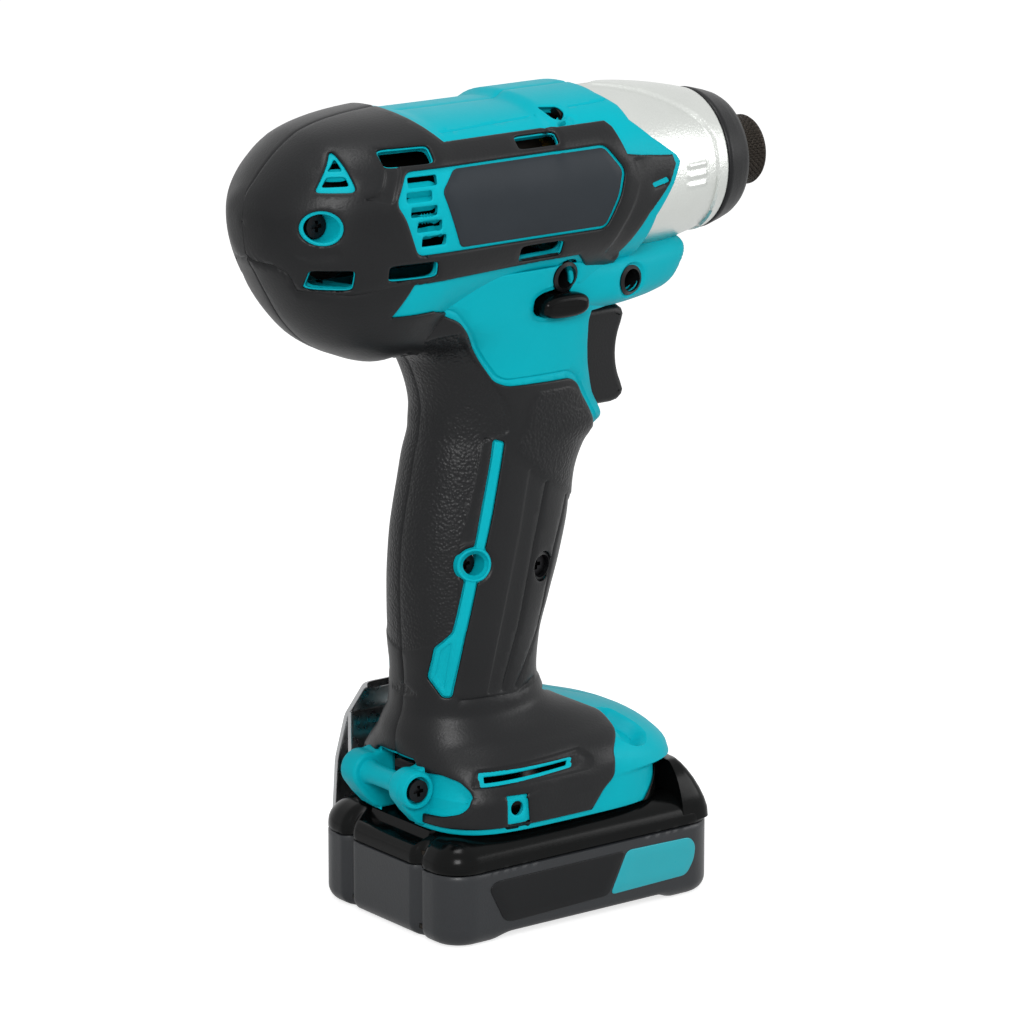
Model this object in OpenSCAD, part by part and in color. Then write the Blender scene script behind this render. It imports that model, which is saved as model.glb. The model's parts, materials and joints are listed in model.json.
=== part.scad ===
// Cordless impact driver with a slide-on battery pack.
// The origin is on the battery's flat bottom face, below the handle. The bit points along +X and +Z is up.

/* [Barrel] */
// Height of the drive axis above the battery's bottom face
axis_z = 182; // [178:1:190]
// Reach of the motor housing behind the origin
barrel_rear = 82; // [81:0.5:86]
// Reach of the housing's side panels in front of the origin
barrel_front = 33; // [31:0.5:36]
// Half width of the barrel at the name plates
barrel_half_w = 26.4; // [25.5:0.1:28]
// Height of the barrel's top above the drive axis
barrel_up = 23.2; // [22.8:0.1:25]
// Depth of the motor housing below the drive axis
barrel_down = 37.5; // [36:0.5:40]

/* [Handle] */
// Half depth of the grip from front to back
grip_half_d = 24.4; // [23.5:0.1:27]
// Half width of the grip
grip_half_w = 15.8; // [15.5:0.1:17]
// Pull of the trigger
trigger_travel = 6; // [4:0.5:6]
// Half width of the trigger
trigger_half_w = 8.4; // [7.5:0.1:8.8]
// Push of the reversing button to either side
reverse_travel = 2.5; // [1.5:0.5:3]

/* [Foot] */
// Half length of the foot above the battery
foot_half_l = 33.7; // [33:0.1:34.5]
// Half width of the foot
foot_half_w = 27.6; // [26.8:0.1:28.4]

/* [Shell] */
// Thickness of the housing's wall, with the overmould that is let into it
wall = 3; // [2.8:0.1:3.2]
// Depth that the overmould is let into the housing
skin = 1.2; // [1:0.1:1.3]
// Height of the overmould above the bare housing
proud = 0.8; // [0.6:0.1:1]

/* [Nose] */
// Front face of the hammer case, in front of the origin
case_face_x = 50.5; // [50:0.5:54]
// Radius of the hammer case where it leaves the housing
case_r = 22.2; // [21.8:0.1:22.4]
// Radius of the hammer case at its front face
case_face_r = 17.7; // [17:0.1:18]
// Length of the nose ring
ring_l = 9.4; // [9:0.1:10.4]
// Radius of the nose ring's front edge
ring_front_r = 14.8; // [14:0.1:15.5]
// Radius of the bit sleeve
sleeve_r = 8.8; // [8.6:0.1:9]
// Pull of the bit sleeve
sleeve_travel = 4; // [3:0.5:4]
// Size of the bit socket across its flats
bit_flats = 6.45; // [6.4:0.05:6.6]

/* [Drive] */
// Module of the gear teeth
gear_module = 0.56; // [0.55:0.01:0.57]
// Radius of the motor can
can_r = 16.4; // [16:0.1:16.5]
// Length of the motor can
can_l = 37.5; // [37:0.5:38]
// Radius of the hammer
hammer_r = 15.6; // [15:0.1:15.7]
// Recoil of the hammer
hammer_travel = 6; // [4:0.5:6]

/* [Battery] */
// Length of the battery
battery_l = 83.6; // [83:0.2:85]
// Width of the battery
battery_w = 58; // [57.5:0.5:60]
// Height of the battery below the foot
battery_h = 26.5; // [26:0.5:28]
// Corner radius of the battery
battery_corner = 7.5; // [6:0.5:9]
// Press of the battery's release button
button_travel = 3; // [2:0.5:3]
// Diameter of a battery cell
cell_d = 18; // [17.6:0.1:18]
// Length of a battery cell
cell_l = 65; // [64:0.5:66]

/* [Belt hook] */
// Width of the hook's steel strip
hook_w = 14; // [12:0.5:16]
// Thickness of the hook's steel strip
hook_t = 1.8; // [1.5:0.1:2]
// Reach of the hook's outer face to the left of the middle plane
hook_reach = 36.8; // [36.5:0.1:40]

/* [Hidden] */

$fn = 48;
teal = "#12A3AC";
elastomer = "#232426";
satin_black = "#1B1C1E";
gloss_black = "#101113";
cast_metal = "#C9CBC6";
bright_steel = "#D8D9DA";
dark_steel = "#5A5550";
copper = "#B4713D";
brass = "#C9A24B";
clear_lens = "#F2F4F6";

// Clearances: a still fit, a moving fit, the housing round the hammer case, a shaft in its bearing,
// and the overrun of every cut
fit_gap = 0.15;
move_gap = 0.4;
case_gap = 0.35;
shaft_gap = 0.04;
over = 1;
right = -1;
left = 1;

// Barrel sections from the rear to the front: place along the barrel, width, height above the axis,
// depth below the axis, and the roundness exponent of the section
barrel_l = barrel_rear + barrel_front;
barrel_shares = [
    [0, 0.15, 0.15, 0.13, 2.1], [0.009, 0.27, 0.26, 0.22, 2.1], [0.028, 0.43, 0.385, 0.325, 2.1],
    [0.055, 0.59, 0.535, 0.475, 2.1], [0.092, 0.735, 0.695, 0.655, 2.1], [0.142, 0.855, 0.84, 0.805, 2.2],
    [0.211, 0.94, 0.925, 0.92, 2.3], [0.281, 0.98, 0.965, 0.98, 2.4], [0.34, 0.995, 0.98, 0.92, 2.45],
    [0.392, 1, 0.935, 0.80, 2.5], [0.635, 1, 0.93, 0.62, 2.5], [0.66, 1, 1, 0.62, 2.5],
    [0.80, 1, 1, 0.60, 2.5], [0.905, 0.965, 1, 0.585, 2.4], [1, 0.92, 0.97, 0.565, 2.3]];

// Foot and grip sections from the bottom up: place on the handle, centre, half depth, half width, exponent.
// Lengths follow the foot below the neck and the grip above it
foot_gap = 0.4;
foot_z = battery_h + foot_gap;
handle_h = axis_z - foot_z;
foot_shares = [
    [0, -0.155, 1, 1, 4], [0.052, -0.155, 1, 0.995, 3.8], [0.060, -0.064, 1.091, 0.99, 3.6],
    [0.074, -0.064, 1.091, 0.985, 3.3], [0.097, -0.099, 1.055, 0.94, 2.9], [0.1165, -0.156, 0.995, 0.85, 2.6],
    [0.132, -0.237, 0.914, 0.745, 2.45], [0.151, -0.366, 0.767, 0.65, 2.4]];
grip_shares = [
    [0.1785, -0.705, 0.795, 0.985, 2.3], [0.226, -0.756, 0.725, 0.97, 2.3], [0.278, -0.752, 0.755, 0.98, 2.3],
    [0.342, -0.699, 0.830, 1, 2.3], [0.407, -0.627, 0.902, 1, 2.3], [0.471, -0.557, 0.935, 1, 2.3],
    [0.536, -0.49, 0.92, 0.99, 2.3], [0.587, -0.385, 0.96, 0.99, 2.3], [0.628, -0.193, 1.094, 1, 2.3],
    [0.665, -0.254, 1.012, 1.02, 2.3], [0.742, -0.281, 1.129, 1.1, 2.4], [0.807, -0.33, 1.334, 1.21, 2.5],
    [0.890, -0.451, 1.598, 1.38, 2.5]];

// How far a grown handle section moves down, as a share of the growth: its floor moves down, and the
// foot's top and the neck move up
drop_shares = [[0, 1], [0.06, 0], [0.132, -1], [0.1785, -0.6], [0.226, 0], [1, 0]];

// Chin under the nose: place along X as a share of its reach, then half width and depths as shares of its width
chin_reach = 41.5;
chin_half_w = 19.5;
chin_shares = [
    [0, 1, 0.72, 1.65], [0.36, 0.98, 0.77, 1.64], [0.72, 0.80, 0.82, 1.62], [0.91, 0.66, 0.87, 1.56],
    [1, 0.52, 0.92, 1.40]];
ring_points = 20;
shell_facets = 24;

function signed_power(v, p) = sign(v) * pow(abs(v), p);

function barrel_ring(row, grow) = [for (k = [0 : ring_points - 1])
    let (a = 360 * k / ring_points, c = signed_power(cos(a), 2 / row[4]), s = signed_power(sin(a), 2 / row[4]))
    [row[0] * barrel_l - barrel_rear - grow * (1 - row[0]), (row[1] * barrel_half_w + grow) * c,
        axis_z + (s > 0 ? row[2] * barrel_up + grow : row[3] * barrel_down + grow) * s]];

function handle_ring(row, depth, width, grow) = [for (k = [0 : ring_points - 1])
    let (a = 360 * k / ring_points, c = signed_power(cos(a), 2 / row[4]), s = signed_power(sin(a), 2 / row[4]))
    [row[1] * depth + (row[2] * depth + grow) * c, (row[3] * width + grow) * s,
        foot_z + row[0] * handle_h - grow * lookup(row[0], drop_shares)]];

function chin_ring(row, grow) = [for (k = [0 : ring_points - 1])
    let (a = 360 * k / ring_points, c = signed_power(cos(a), 2 / 3), s = signed_power(sin(a), 2 / 3),
        mid = axis_z - chin_half_w * (row[2] + row[3]) / 2, half = chin_half_w * (row[3] - row[2]) / 2)
    [row[0] * (chin_reach + grow), (row[1] * chin_half_w + grow) * c, mid + (half + grow) * s]];

// A skin over neighbouring rings of points, each ring flat and convex
module loft(rings)
    for (i = [0 : len(rings) - 2])
        hull() polyhedron(concat(rings[i], rings[i + 1]), [[for (k = [0 : 2 * ring_points - 1]) k]]);

// The tool's outer form, grown or shrunk
module body_form(grow) {
    loft([for (row = barrel_shares) barrel_ring(row, grow)]);
    loft(concat([for (row = foot_shares) handle_ring(row, foot_half_l, foot_half_w, grow)],
        [for (row = grip_shares) handle_ring(row, grip_half_d, grip_half_w, grow)]));
    loft([for (row = chin_shares) chin_ring(row, grow)]);
}

// An outline drawn in X and Z, carried right through the tool along Y
through_l = 4 * barrel_half_w;
module side_prism() rotate([90, 0, 0]) linear_extrude(height = through_l, center = true) children();

// One half of the tool: everything on one side of the middle plane
reach = 2 * axis_z;
module half(side) intersection() {
    children();
    translate([-reach, side == right ? -reach : 0, -reach]) cube([2 * reach, reach, 2 * reach]);
}

// A round piece along the drive axis
module along_axis(x) translate([x, 0, axis_z]) rotate([0, 90, 0]) children();
module rod(x0, x1, r) along_axis(x0) cylinder(h = x1 - x0, r = r);
module tube(x0, x1, r_out, r_in) difference() {
    rod(x0, x1, r_out);
    rod(x0 - over, x1 + over, r_in);
}
// A round hole or pin along Y at a place in X and Z
module along_y(x, z, y) translate([x, y, z]) rotate([90, 0, 0]) children();

// Places on the barrel and handle for the outlines below
function bx(share) = share * barrel_l - barrel_rear;
function bz(share) = axis_z + share * barrel_up;
function hz(share) = foot_z + share * handle_h;
function gx(share) = share * grip_half_d;
function fx(share) = share * foot_half_l;

// Outline of the overmould: boot, side band, grip and foot cover in one piece
cover_outline = [
    [bx(-0.1), bz(1.6)], [bx(0.36), bz(1.6)], [bx(0.367), bz(0.93)], [bx(0.385), bz(0.745)],
    [bx(0.81), bz(0.745)], [bx(0.873), bz(0.36)], [bx(0.962), bz(0.285)], [bx(0.967), bz(0.2)],
    [bx(0.935), bz(-0.02)], [bx(0.89), bz(-0.276)], [bx(0.835), bz(-0.58)], [bx(0.806), bz(-0.79)],
    [bx(0.735), bz(-0.79)], [bx(0.722), bz(-0.66)], [bx(0.629), bz(-0.635)], [bx(0.275), bz(-0.66)],
    [bx(0.238), bz(-1.02)], [bx(0.35), bz(-1.012)], [bx(0.396), bz(-1.095)], [bx(0.441), bz(-1.25)],
    [bx(0.496), bz(-1.595)], [bx(0.539), bz(-1.925)], [bx(0.57), bz(-1.98)], [bx(0.741), bz(-1.985)],
    [bx(0.771), bz(-2.08)], [bx(0.81), bz(-2.34)], [bx(0.83), bz(-2.55)], [bx(0.93), bz(-2.62)],
    [bx(0.93), hz(0.5)], [gx(0.8), hz(0.3)], [gx(0.2), hz(0.192)], [fx(0.24), hz(0.162)], [fx(0.40), hz(0.12)],
    [fx(0.39), hz(0.09)], [fx(0.30), hz(0.045)], [fx(0.10), hz(0.01)], [fx(-0.95), hz(0.01)],
    [fx(-1.0), hz(0.04)], [fx(-1.04), hz(0.107)], [fx(-1.6), hz(0.107)], [bx(-0.1), hz(0.7)]];

// Windows in the side band: the name plate, the grille and the boot's small vent
plate_outline = [
    [bx(0.372), bz(0.475)], [bx(0.759), bz(0.5)], [bx(0.81), bz(0.263)], [bx(0.807), bz(0.16)],
    [bx(0.761), bz(-0.306)], [bx(0.735), bz(-0.362)], [bx(0.386), bz(-0.332)], [bx(0.343), bz(0.215)]];
grille_outline = [
    [bx(0.272), bz(0.509)], [bx(0.342), bz(0.509)], [bx(0.317), bz(0.233)], [bx(0.355), bz(-0.315)],
    [bx(0.283), bz(-0.323)], [bx(0.26), bz(-0.168)], [bx(0.238), bz(0.272)]];
vent_outline = [[bx(0.138), bz(0.72)], [bx(0.072), bz(0.375)], [bx(0.148), bz(0.375)]];
slit_half_l = 6;
slit_half_h = 1.6;
slit_places = [[bx(0.107), bz(-0.56)], [bx(0.272), bz(-0.52)], [bx(0.602), bz(-0.53)], [bx(0.302), bz(0.665)],
    [bx(0.61), bz(0.635)]];
module slit_outlines() for (p = slit_places)
    translate(p) square([2 * slit_half_l, 2 * slit_half_h], center = true);

// Inset strip on the grip
strip_outline = [
    [gx(-0.83), hz(0.622)], [gx(-0.76), hz(0.618)], [gx(-1.08), hz(0.4)], [gx(-1.13), hz(0.222)],
    [gx(-1.39), hz(0.212)], [gx(-1.5), hz(0.248)], [gx(-1.46), hz(0.293)], [gx(-1.27), hz(0.31)]];

// Skirt of the hammer case inside the housing
skirt_r = 18.2;
skirt_wall = 1.8;
case_bore = skirt_r - skirt_wall;

// Screws: places in X and Z, the depth of the head from the middle plane, and their sizes
screw_r = 1.45;
screw_head_r = 2.8;
screw_head_h = 2.2;
screw_l = 18;
boss_r = 4.2;
under_case = case_gap + 2 * fit_gap + screw_r;
screw_places = [[bx(0.695), axis_z - skirt_r - under_case], [bx(0.885), axis_z - case_r - under_case],
    [gx(-1.095), hz(0.421)], [gx(-0.21), hz(0.398)], [fx(0.56), hz(0.105)]];
screw_head_y = 12;
cover_screw_x = bx(0.084);
cover_screw_y = 15.5;
cover_screw_l = 8.5;
pocket_r = screw_head_r + move_gap;

// Slits of the grille through the housing's wall
grille_count = 5;
grille_slit_h = 2.2;
grille_pitch = 3.8;
grille_low_share = 1.4;

// Front edge of the housing at the hammer case
case_rear_x = -15;
case_lip_x = 20;
front_cut = [
    [bx(0.908), bz(1.6)], [bx(0.908), bz(0.74)], [bx(0.985), bz(0.26)], [bx(1), bz(0)], [bx(0.985), bz(-0.28)],
    [bx(0.875), bz(-0.69)], [bx(1.2), bz(-0.69)], [bx(1.2), bz(1.6)]];

// Hammer case: a skirt inside the housing, then a curved front of revolution
case_steps = 10;
case_curve_share = 1.8;
case_boss_r = 11;
case_boss_l = 4.5;
function case_radius(t) = case_face_r + (case_r - case_face_r) * (1 - pow(t, case_curve_share));
function case_profile(grow) = concat(
    [[0, case_rear_x - grow], [skirt_r + grow, case_rear_x - grow], [skirt_r + grow, case_lip_x - case_r / 4],
        [case_r + grow, case_lip_x - grow]],
    [for (i = [1 : case_steps]) let (t = i / case_steps)
        [case_radius(t) + grow, case_lip_x + t * (case_face_x - case_lip_x) + (i == case_steps ? grow : 0)]],
    [[0, case_face_x + grow]]);
module case_form(grow) along_axis(0) rotate_extrude() polygon(case_profile(grow));

// Stations of the drive along the axis
nose_wall_x = 29.8;
washer_t = 1.2;
washer_r = 12;
jaw_l = 3;
jaw_front_x = nose_wall_x - washer_t - fit_gap;
jaw_rear_x = jaw_front_x - jaw_l;
hammer_front_x = jaw_rear_x - move_gap;
hammer_l = 14;
hammer_rear_x = hammer_front_x - hammer_l;
cover_t = 3.5;
ring_gear_l = 8;
ring_gear_x = case_rear_x + cover_t + fit_gap;
carrier_x = ring_gear_x + ring_gear_l + fit_gap;
carrier_t = 3.6;
planet_l = 6;
planet_x = carrier_x - move_gap - planet_l;
can_front_x = -24;
can_rear_x = can_front_x - can_l;
can_wall = 1.5;
bell_r = 13.2;
bell_l = 6;
hub_r = 7.6;
hub_l = 4.8;
bearing_r = 6.5;
bearing_l = 4.4;
motor_shaft_r = 2.5;
core_r = 11.8;
commutator_r = 7;
fan_r = 14.5;
spindle_r = 5.5;
carrier_r = 12.6;
pilot_r = 3;
pilot_l = 5;
anvil_r = 6.2;
bush_r = 9.5;
bush_l = 15;
cam_ball_r = 1.6;
bit_ball_r = 1.75;
bell_rear_x = can_rear_x - bell_l;
carrier_front_x = carrier_x + carrier_t;
sleeve_show_l = 10.2;
sleeve_front_x = case_face_x + ring_l + sleeve_show_l;

// Gear sizes: teeth of the pinion, of each planet gear and of the ring gear
sun_teeth = 12;
planet_teeth = 18;
ring_teeth = sun_teeth + 2 * planet_teeth;
planets = 3;
pressure_angle = 25;
addendum_share = 0.9;
dedendum_share = 1.15;
backlash = 0.07;
flank_steps = 4;
planet_orbit = gear_module * (sun_teeth + planet_teeth) / 2;
pin_r = 1.5;
planet_bore = pin_r + shaft_gap;

function involute(angle) = tan(angle) - angle * PI / 180;
function flank_angle(teeth, radius, slack) =
    let (pitch_r = gear_module * teeth / 2, base_r = pitch_r * cos(pressure_angle))
    (PI / 2 / teeth - slack / 2 / pitch_r + involute(pressure_angle)
        - involute(acos(min(1, base_r / radius)))) * 180 / PI;
function gear_points(teeth, outer_share, inner_share, slack) =
    let (pitch_r = gear_module * teeth / 2, tip = pitch_r + outer_share * gear_module,
        root = pitch_r - inner_share * gear_module, base_r = max(root, pitch_r * cos(pressure_angle)))
    [for (i = [0 : teeth - 1], j = [-flank_steps - 1 : flank_steps + 1])
        if (j != 0) let (n = flank_steps + 1 - abs(j),
            radius = n == 0 ? root : base_r + (tip - base_r) * (n - 1) / (flank_steps - 1),
            turn = sign(j) * flank_angle(teeth, max(radius, base_r), slack))
        radius * [cos(360 * i / teeth + turn), sin(360 * i / teeth + turn)]];

// A helix of round wire as one tube, along +Z from zero, with flat-lying ends
wire_sides = 6;
turn_steps = 12;
function coil_ring(radius, wire_r, length, turns, i) =
    let (a = 360 * i / turn_steps, z = wire_r + (length - 2 * wire_r) * i / (turns * turn_steps))
    [for (k = [0 : wire_sides - 1]) let (b = 360 * k / wire_sides, r = radius + wire_r * cos(b))
        [r * cos(a), r * sin(a), z + wire_r * sin(b)]];
module coil(radius, wire_r, length, turns) {
    rings = turns * turn_steps;
    points = [for (i = [0 : rings], p = coil_ring(radius, wire_r, length, turns, i)) p];
    walls = [for (i = [0 : rings - 1], k = [0 : wire_sides - 1], half = [0, 1])
        let (m = (k + 1) % wire_sides, a = i * wire_sides + k, b = i * wire_sides + m, up = wire_sides)
        half == 0 ? [a, b, b + up] : [a, b + up, a + up]];
    caps = [for (k = [1 : wire_sides - 2], end = [0, 1])
        end == 0 ? [0, k + 1, k] : [rings * wire_sides, rings * wire_sides + k, rings * wire_sides + k + 1]];
    polyhedron(points, concat(walls, caps));
}

// Trigger bay, switch and reversing button
switch_front_x = -7;
switch_l = 16;
switch_half_w = 8.6;
switch_z0 = hz(0.645);
switch_z1 = hz(0.79);
trigger_z0 = hz(0.632);
trigger_z1 = hz(0.792);
trigger_rear_x = switch_front_x + trigger_travel + move_gap;
trigger_nose_x = 25.5;
trigger_shoulder_x = 9;
plunger_r = 2.2;
plunger_l = 12;
reverse_x = -3;
reverse_z = hz(0.825);
reverse_half_l = 6.6;
reverse_half_h = 2.9;
reverse_half_w = 22.6;
bay_gap = 1.5 * move_gap;
bay_outline = [
    [trigger_shoulder_x, trigger_z1 + bay_gap], [trigger_shoulder_x - gx(0.1), hz(0.775)],
    [trigger_shoulder_x - gx(0.08), hz(0.71)], [gx(0.46), hz(0.65)], [gx(0.72), trigger_z0 - bay_gap],
    [gx(1.6), trigger_z0 - bay_gap], [gx(1.6), trigger_z1 + bay_gap]];

// Battery rails: a flanged block on the battery that runs in the foot
rail_half_w = 15;
flange_half_w = 18;
rail_h = 3.2;
flange_h = 3.6;
rail_rear_x = -28;
front_block_l = 11.1;
front_block_z = 34.2;
battery_mid_x = -1.8;
battery_front_x = battery_mid_x + battery_l / 2;
front_block_x = battery_front_x - front_block_l;
battery_rear_x = battery_mid_x - battery_l / 2;
cell_mid_x = -3.9;
parting_z = 18.7;
shell_wall = 1.8;
cell_gap = 0.1;

// Lugs and bar for a wrist strap at the back of the foot
lug_stand = 3.08;
lug_x = fx(-1.155) - lug_stand;
lug_z = hz(0.068);
lug_r = 4.8;
lug_in_y = 7;
lug_out_y = 13.4;
bar_r = 2.6;
strap_gap = 3.4;

// Belt hook: a plate screwed to the foot's left flank, joined to a strip that runs from beside the neck,
// over the shoulder and down outside. The strip's middle line is in shares of its reach and of its height
hook_x = fx(-0.7715);
hook_end_z = 16.6;
hook_top_z = hz(0.1805);
hook_base_y = foot_half_w + fit_gap;
hook_foot_z = hz(0.055);
hook_pad_h = 12;
hook_in_y = 20.2;
hook_base_shares = [0.37, 0.775];
hook_shares = [[0, 1], [0.11, 1], [0.64, 0.735], [0.91, 0.41], [1, 0]];
function hook_z(share) = hook_end_z + share * (hook_top_z - hook_end_z);
hook_base_path = [for (share = hook_base_shares) [hook_base_y + hook_t / 2, hook_z(share)]];
hook_strip_path = [for (p = hook_shares)
    [hook_in_y + p[0] * (hook_reach - hook_t / 2 - hook_in_y), hook_z(p[1])]];

// Ribs that seat the motor, the hammer case, the end bell and the switch
rib_t = 2;
rib_stations = [[can_rear_x + 3 * rib_t, can_r], [can_front_x - 3 * rib_t, can_r],
    [case_rear_x + 2 * rib_t, skirt_r - skirt_wall], [can_rear_x - rib_t, bell_r]];
module seat_ribs() {
    for (s = rib_stations) difference() {
        intersection() {
            body_form(-wall / 2);
            rod(s[0], s[0] + rib_t, barrel_half_w);
        }
        rod(s[0] - over, s[0] + rib_t + over, s[1] + 2 * fit_gap);
    }
    for (z = [switch_z0 + rib_t, switch_z1 - 2 * rib_t]) difference() {
        intersection() {
            body_form(-wall / 2);
            translate([switch_front_x - switch_l - rib_t, -barrel_half_w, z])
                cube([switch_l, 2 * barrel_half_w, rib_t]);
        }
        translate([switch_front_x - switch_l - fit_gap, -switch_half_w - fit_gap, z - over])
            cube([switch_l + 2 * fit_gap, 2 * (switch_half_w + fit_gap), rib_t + 2 * over]);
    }
}

// Screw bosses: full height in both halves, with a hole for the screw
module screw_bosses() intersection() {
    body_form(-wall / 2);
    for (p = screw_places) along_y(p[0], p[1], barrel_half_w) cylinder(h = 2 * barrel_half_w, r = boss_r);
}
module screw_holes(side) for (p = screw_places) {
    along_y(p[0], p[1], screw_l - screw_head_y + move_gap) cylinder(h = screw_l, r = screw_r + fit_gap);
    if (side == right) along_y(p[0], p[1], screw_head_h - screw_head_y)
        cylinder(h = barrel_half_w, r = pocket_r);
}

// Ears on the hammer case and the screws that draw it into the housing
ear_orbit = 22.6;
ear_angles = [50, 130];
ear_r = 3;
ear_l = 10;
ear_x = 3;
case_screw_l = 12;
case_pocket_r = 4;
case_pocket_l = 8;
module around_axis(angle) translate([0, 0, axis_z]) rotate([angle, 0, 0]) children();
module ear_rod(angle, x0, x1, r) around_axis(angle)
    translate([x0, ear_orbit, 0]) rotate([0, 90, 0]) cylinder(h = x1 - x0, r = r);
module case_ears(grow) for (a = ear_angles) {
    ear_rod(a, ear_x - grow, ear_x + ear_l + grow, ear_r + grow);
    around_axis(a) translate([ear_x - grow, case_bore + skirt_wall / 2, -ear_r - grow])
        cube([ear_l + 2 * grow, ear_orbit - case_bore - skirt_wall / 2, 2 * (ear_r + grow)]);
}

// The space that the battery's rails slide through
module battery_slot() {
    slot_l = battery_l;
    translate([rail_rear_x - move_gap, -rail_half_w - move_gap, foot_z - over])
        cube([slot_l, 2 * (rail_half_w + move_gap), rail_h + over + move_gap]);
    translate([rail_rear_x - move_gap, -flange_half_w - move_gap, battery_h + rail_h - move_gap])
        cube([slot_l, 2 * (flange_half_w + move_gap), flange_h + 2 * move_gap]);
}
// The space that the battery's front block takes up before the foot
module front_block_space() translate([front_block_x - foot_gap, -battery_w, foot_z - over])
    cube([battery_l, 2 * battery_w, front_block_z + foot_gap - foot_z + over]);

// Lugs, bar and slot for a strap, and the wall behind that slot
module strap_lugs() {
    for (side = [right, left]) along_y(lug_x, lug_z, max(side * lug_in_y, side * lug_out_y))
        cylinder(h = lug_out_y - lug_in_y, r = lug_r);
    along_y(lug_x, lug_z, lug_in_y + skin) cylinder(h = 2 * (lug_in_y + skin), r = bar_r);
}
strap_wall_x = lug_x + bar_r + strap_gap;
module strap_slot() translate([lug_x - lug_r, -lug_in_y - fit_gap, foot_z - over])
    cube([lug_r + bar_r + strap_gap, 2 * (lug_in_y + fit_gap), lug_z + 2 * lug_r - foot_z]);
module strap_wall() intersection() {
    body_form(-wall / 2);
    translate([strap_wall_x - skin / 2, -lug_in_y - skin, foot_z + skin])
        cube([2 * skin, 2 * (lug_in_y + skin), lug_z + 2 * lug_r - foot_z + skin]);
}

// Pad on the left flank that the belt hook is screwed to
hook_screw_l = 10;
module hook_pad(grow)
    translate([hook_x - hook_w / 2 - skin - grow, hook_base_y - hook_screw_l,
        hook_foot_z - hook_pad_h / 2 - grow])
        cube([hook_w + 2 * (skin + grow), hook_screw_l - fit_gap + grow, hook_pad_h + 2 * grow]);
hook_screw_head_r = 3.4;

// Lamp in the front of the chin
lamp_r = 2.4;
lamp_l = 6;
lamp_show_l = 0.8;
lamp_z = axis_z - chin_half_w * (chin_shares[4][2] + 2 * chin_shares[4][3]) / 3;
lamp_rear_x = chin_reach + lamp_show_l - lamp_l;

module vents() {
    side_prism() intersection() {
        offset(delta = -skin) polygon(grille_outline);
        for (i = [0 : grille_count - 1])
            translate([bx(0), axis_z + (i - grille_low_share) * grille_pitch])
                square([barrel_l, grille_slit_h]);
    }
    side_prism() offset(delta = -skin) polygon(vent_outline);
    side_prism() offset(delta = -skin / 2) slit_outlines();
}

module cover_screw_pockets() for (side = [right, left])
    along_y(cover_screw_x, axis_z, side == left ? barrel_half_w : screw_head_h - cover_screw_y)
        cylinder(h = barrel_half_w - cover_screw_y + screw_head_h, r = pocket_r);

module cover_screw_bores() along_y(cover_screw_x, axis_z, barrel_half_w)
    cylinder(h = 2 * barrel_half_w, r = screw_r + fit_gap);

module housing_half(side, $fn = shell_facets) color(teal) half(side) difference() {
    union() {
        difference() {
            body_form(0);
            body_form(-wall);
            strap_slot();
        }
        strap_lugs();
        seat_ribs();
        screw_bosses();
        strap_wall();
        if (side == left) hook_pad(0);
    }
    difference() {
        side_prism() polygon(cover_outline);
        body_form(-skin);
        if (side == left) hook_pad(0);
    }
    side_prism() polygon(front_cut);
    case_form(case_gap);
    case_ears(case_gap);
    for (a = ear_angles) {
        ear_rod(a, ear_x - case_pocket_l, ear_x + ear_l, screw_r + fit_gap);
        ear_rod(a, ear_x - case_pocket_l, ear_x - screw_head_h, case_pocket_r);
    }
    side_prism() polygon(bay_outline);
    translate([trigger_rear_x - trigger_travel - move_gap, -trigger_half_w - move_gap, trigger_z0 - move_gap])
        cube([trigger_nose_x - trigger_rear_x + trigger_travel, 2 * (trigger_half_w + move_gap),
            trigger_z1 - trigger_z0 + 2 * move_gap]);
    translate([reverse_x - reverse_half_l - move_gap, -barrel_half_w, reverse_z - reverse_half_h - move_gap])
        cube([2 * (reverse_half_l + move_gap), 2 * barrel_half_w, 2 * (reverse_half_h + move_gap)]);
    vents();
    battery_slot();
    front_block_space();
    screw_holes(side);
    cover_screw_pockets();
    cover_screw_bores();
    along_y(lug_x, lug_z, lug_in_y) cylinder(h = 2 * lug_out_y, r = screw_r + fit_gap);
    along_y(lug_x, lug_z, screw_head_h - lug_out_y) cylinder(h = lug_out_y, r = pocket_r);
    along_y(hook_x, hook_foot_z, foot_half_w + over) cylinder(h = hook_screw_l + over, r = screw_r + fit_gap);
    translate([lamp_rear_x - over, 0, lamp_z]) rotate([0, 90, 0])
        cylinder(h = lamp_l + 2 * over, r = lamp_r + fit_gap);
}
module housing_right() housing_half(right);
module housing_left() housing_half(left);

module overmould_half(side, $fn = shell_facets) color(elastomer) half(side) difference() {
    intersection() {
        body_form(proud);
        side_prism() offset(delta = -fit_gap) polygon(cover_outline);
    }
    body_form(fit_gap - skin);
    side_prism() polygon(plate_outline);
    side_prism() polygon(grille_outline);
    side_prism() polygon(vent_outline);
    side_prism() polygon(strip_outline);
    side_prism() slit_outlines();
    side_prism() polygon(bay_outline);
    strap_slot();
    strap_lugs();
    for (p = screw_places) along_y(p[0], p[1], barrel_half_w + over)
        cylinder(h = 2 * (barrel_half_w + over), r = pocket_r + skin);
    along_y(cover_screw_x, axis_z, barrel_half_w + over)
        cylinder(h = 2 * (barrel_half_w + over), r = pocket_r + skin);
    if (side == left) hook_pad(fit_gap);
}
module overmould_right() overmould_half(right);
module overmould_left() overmould_half(left);

plate_t = 0.8;
module name_plates() color(satin_black) difference() {
    intersection() {
        body_form(fit_gap + plate_t - skin);
        side_prism() offset(delta = -skin / 2) polygon(plate_outline);
    }
    body_form(fit_gap - skin);
}

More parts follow.
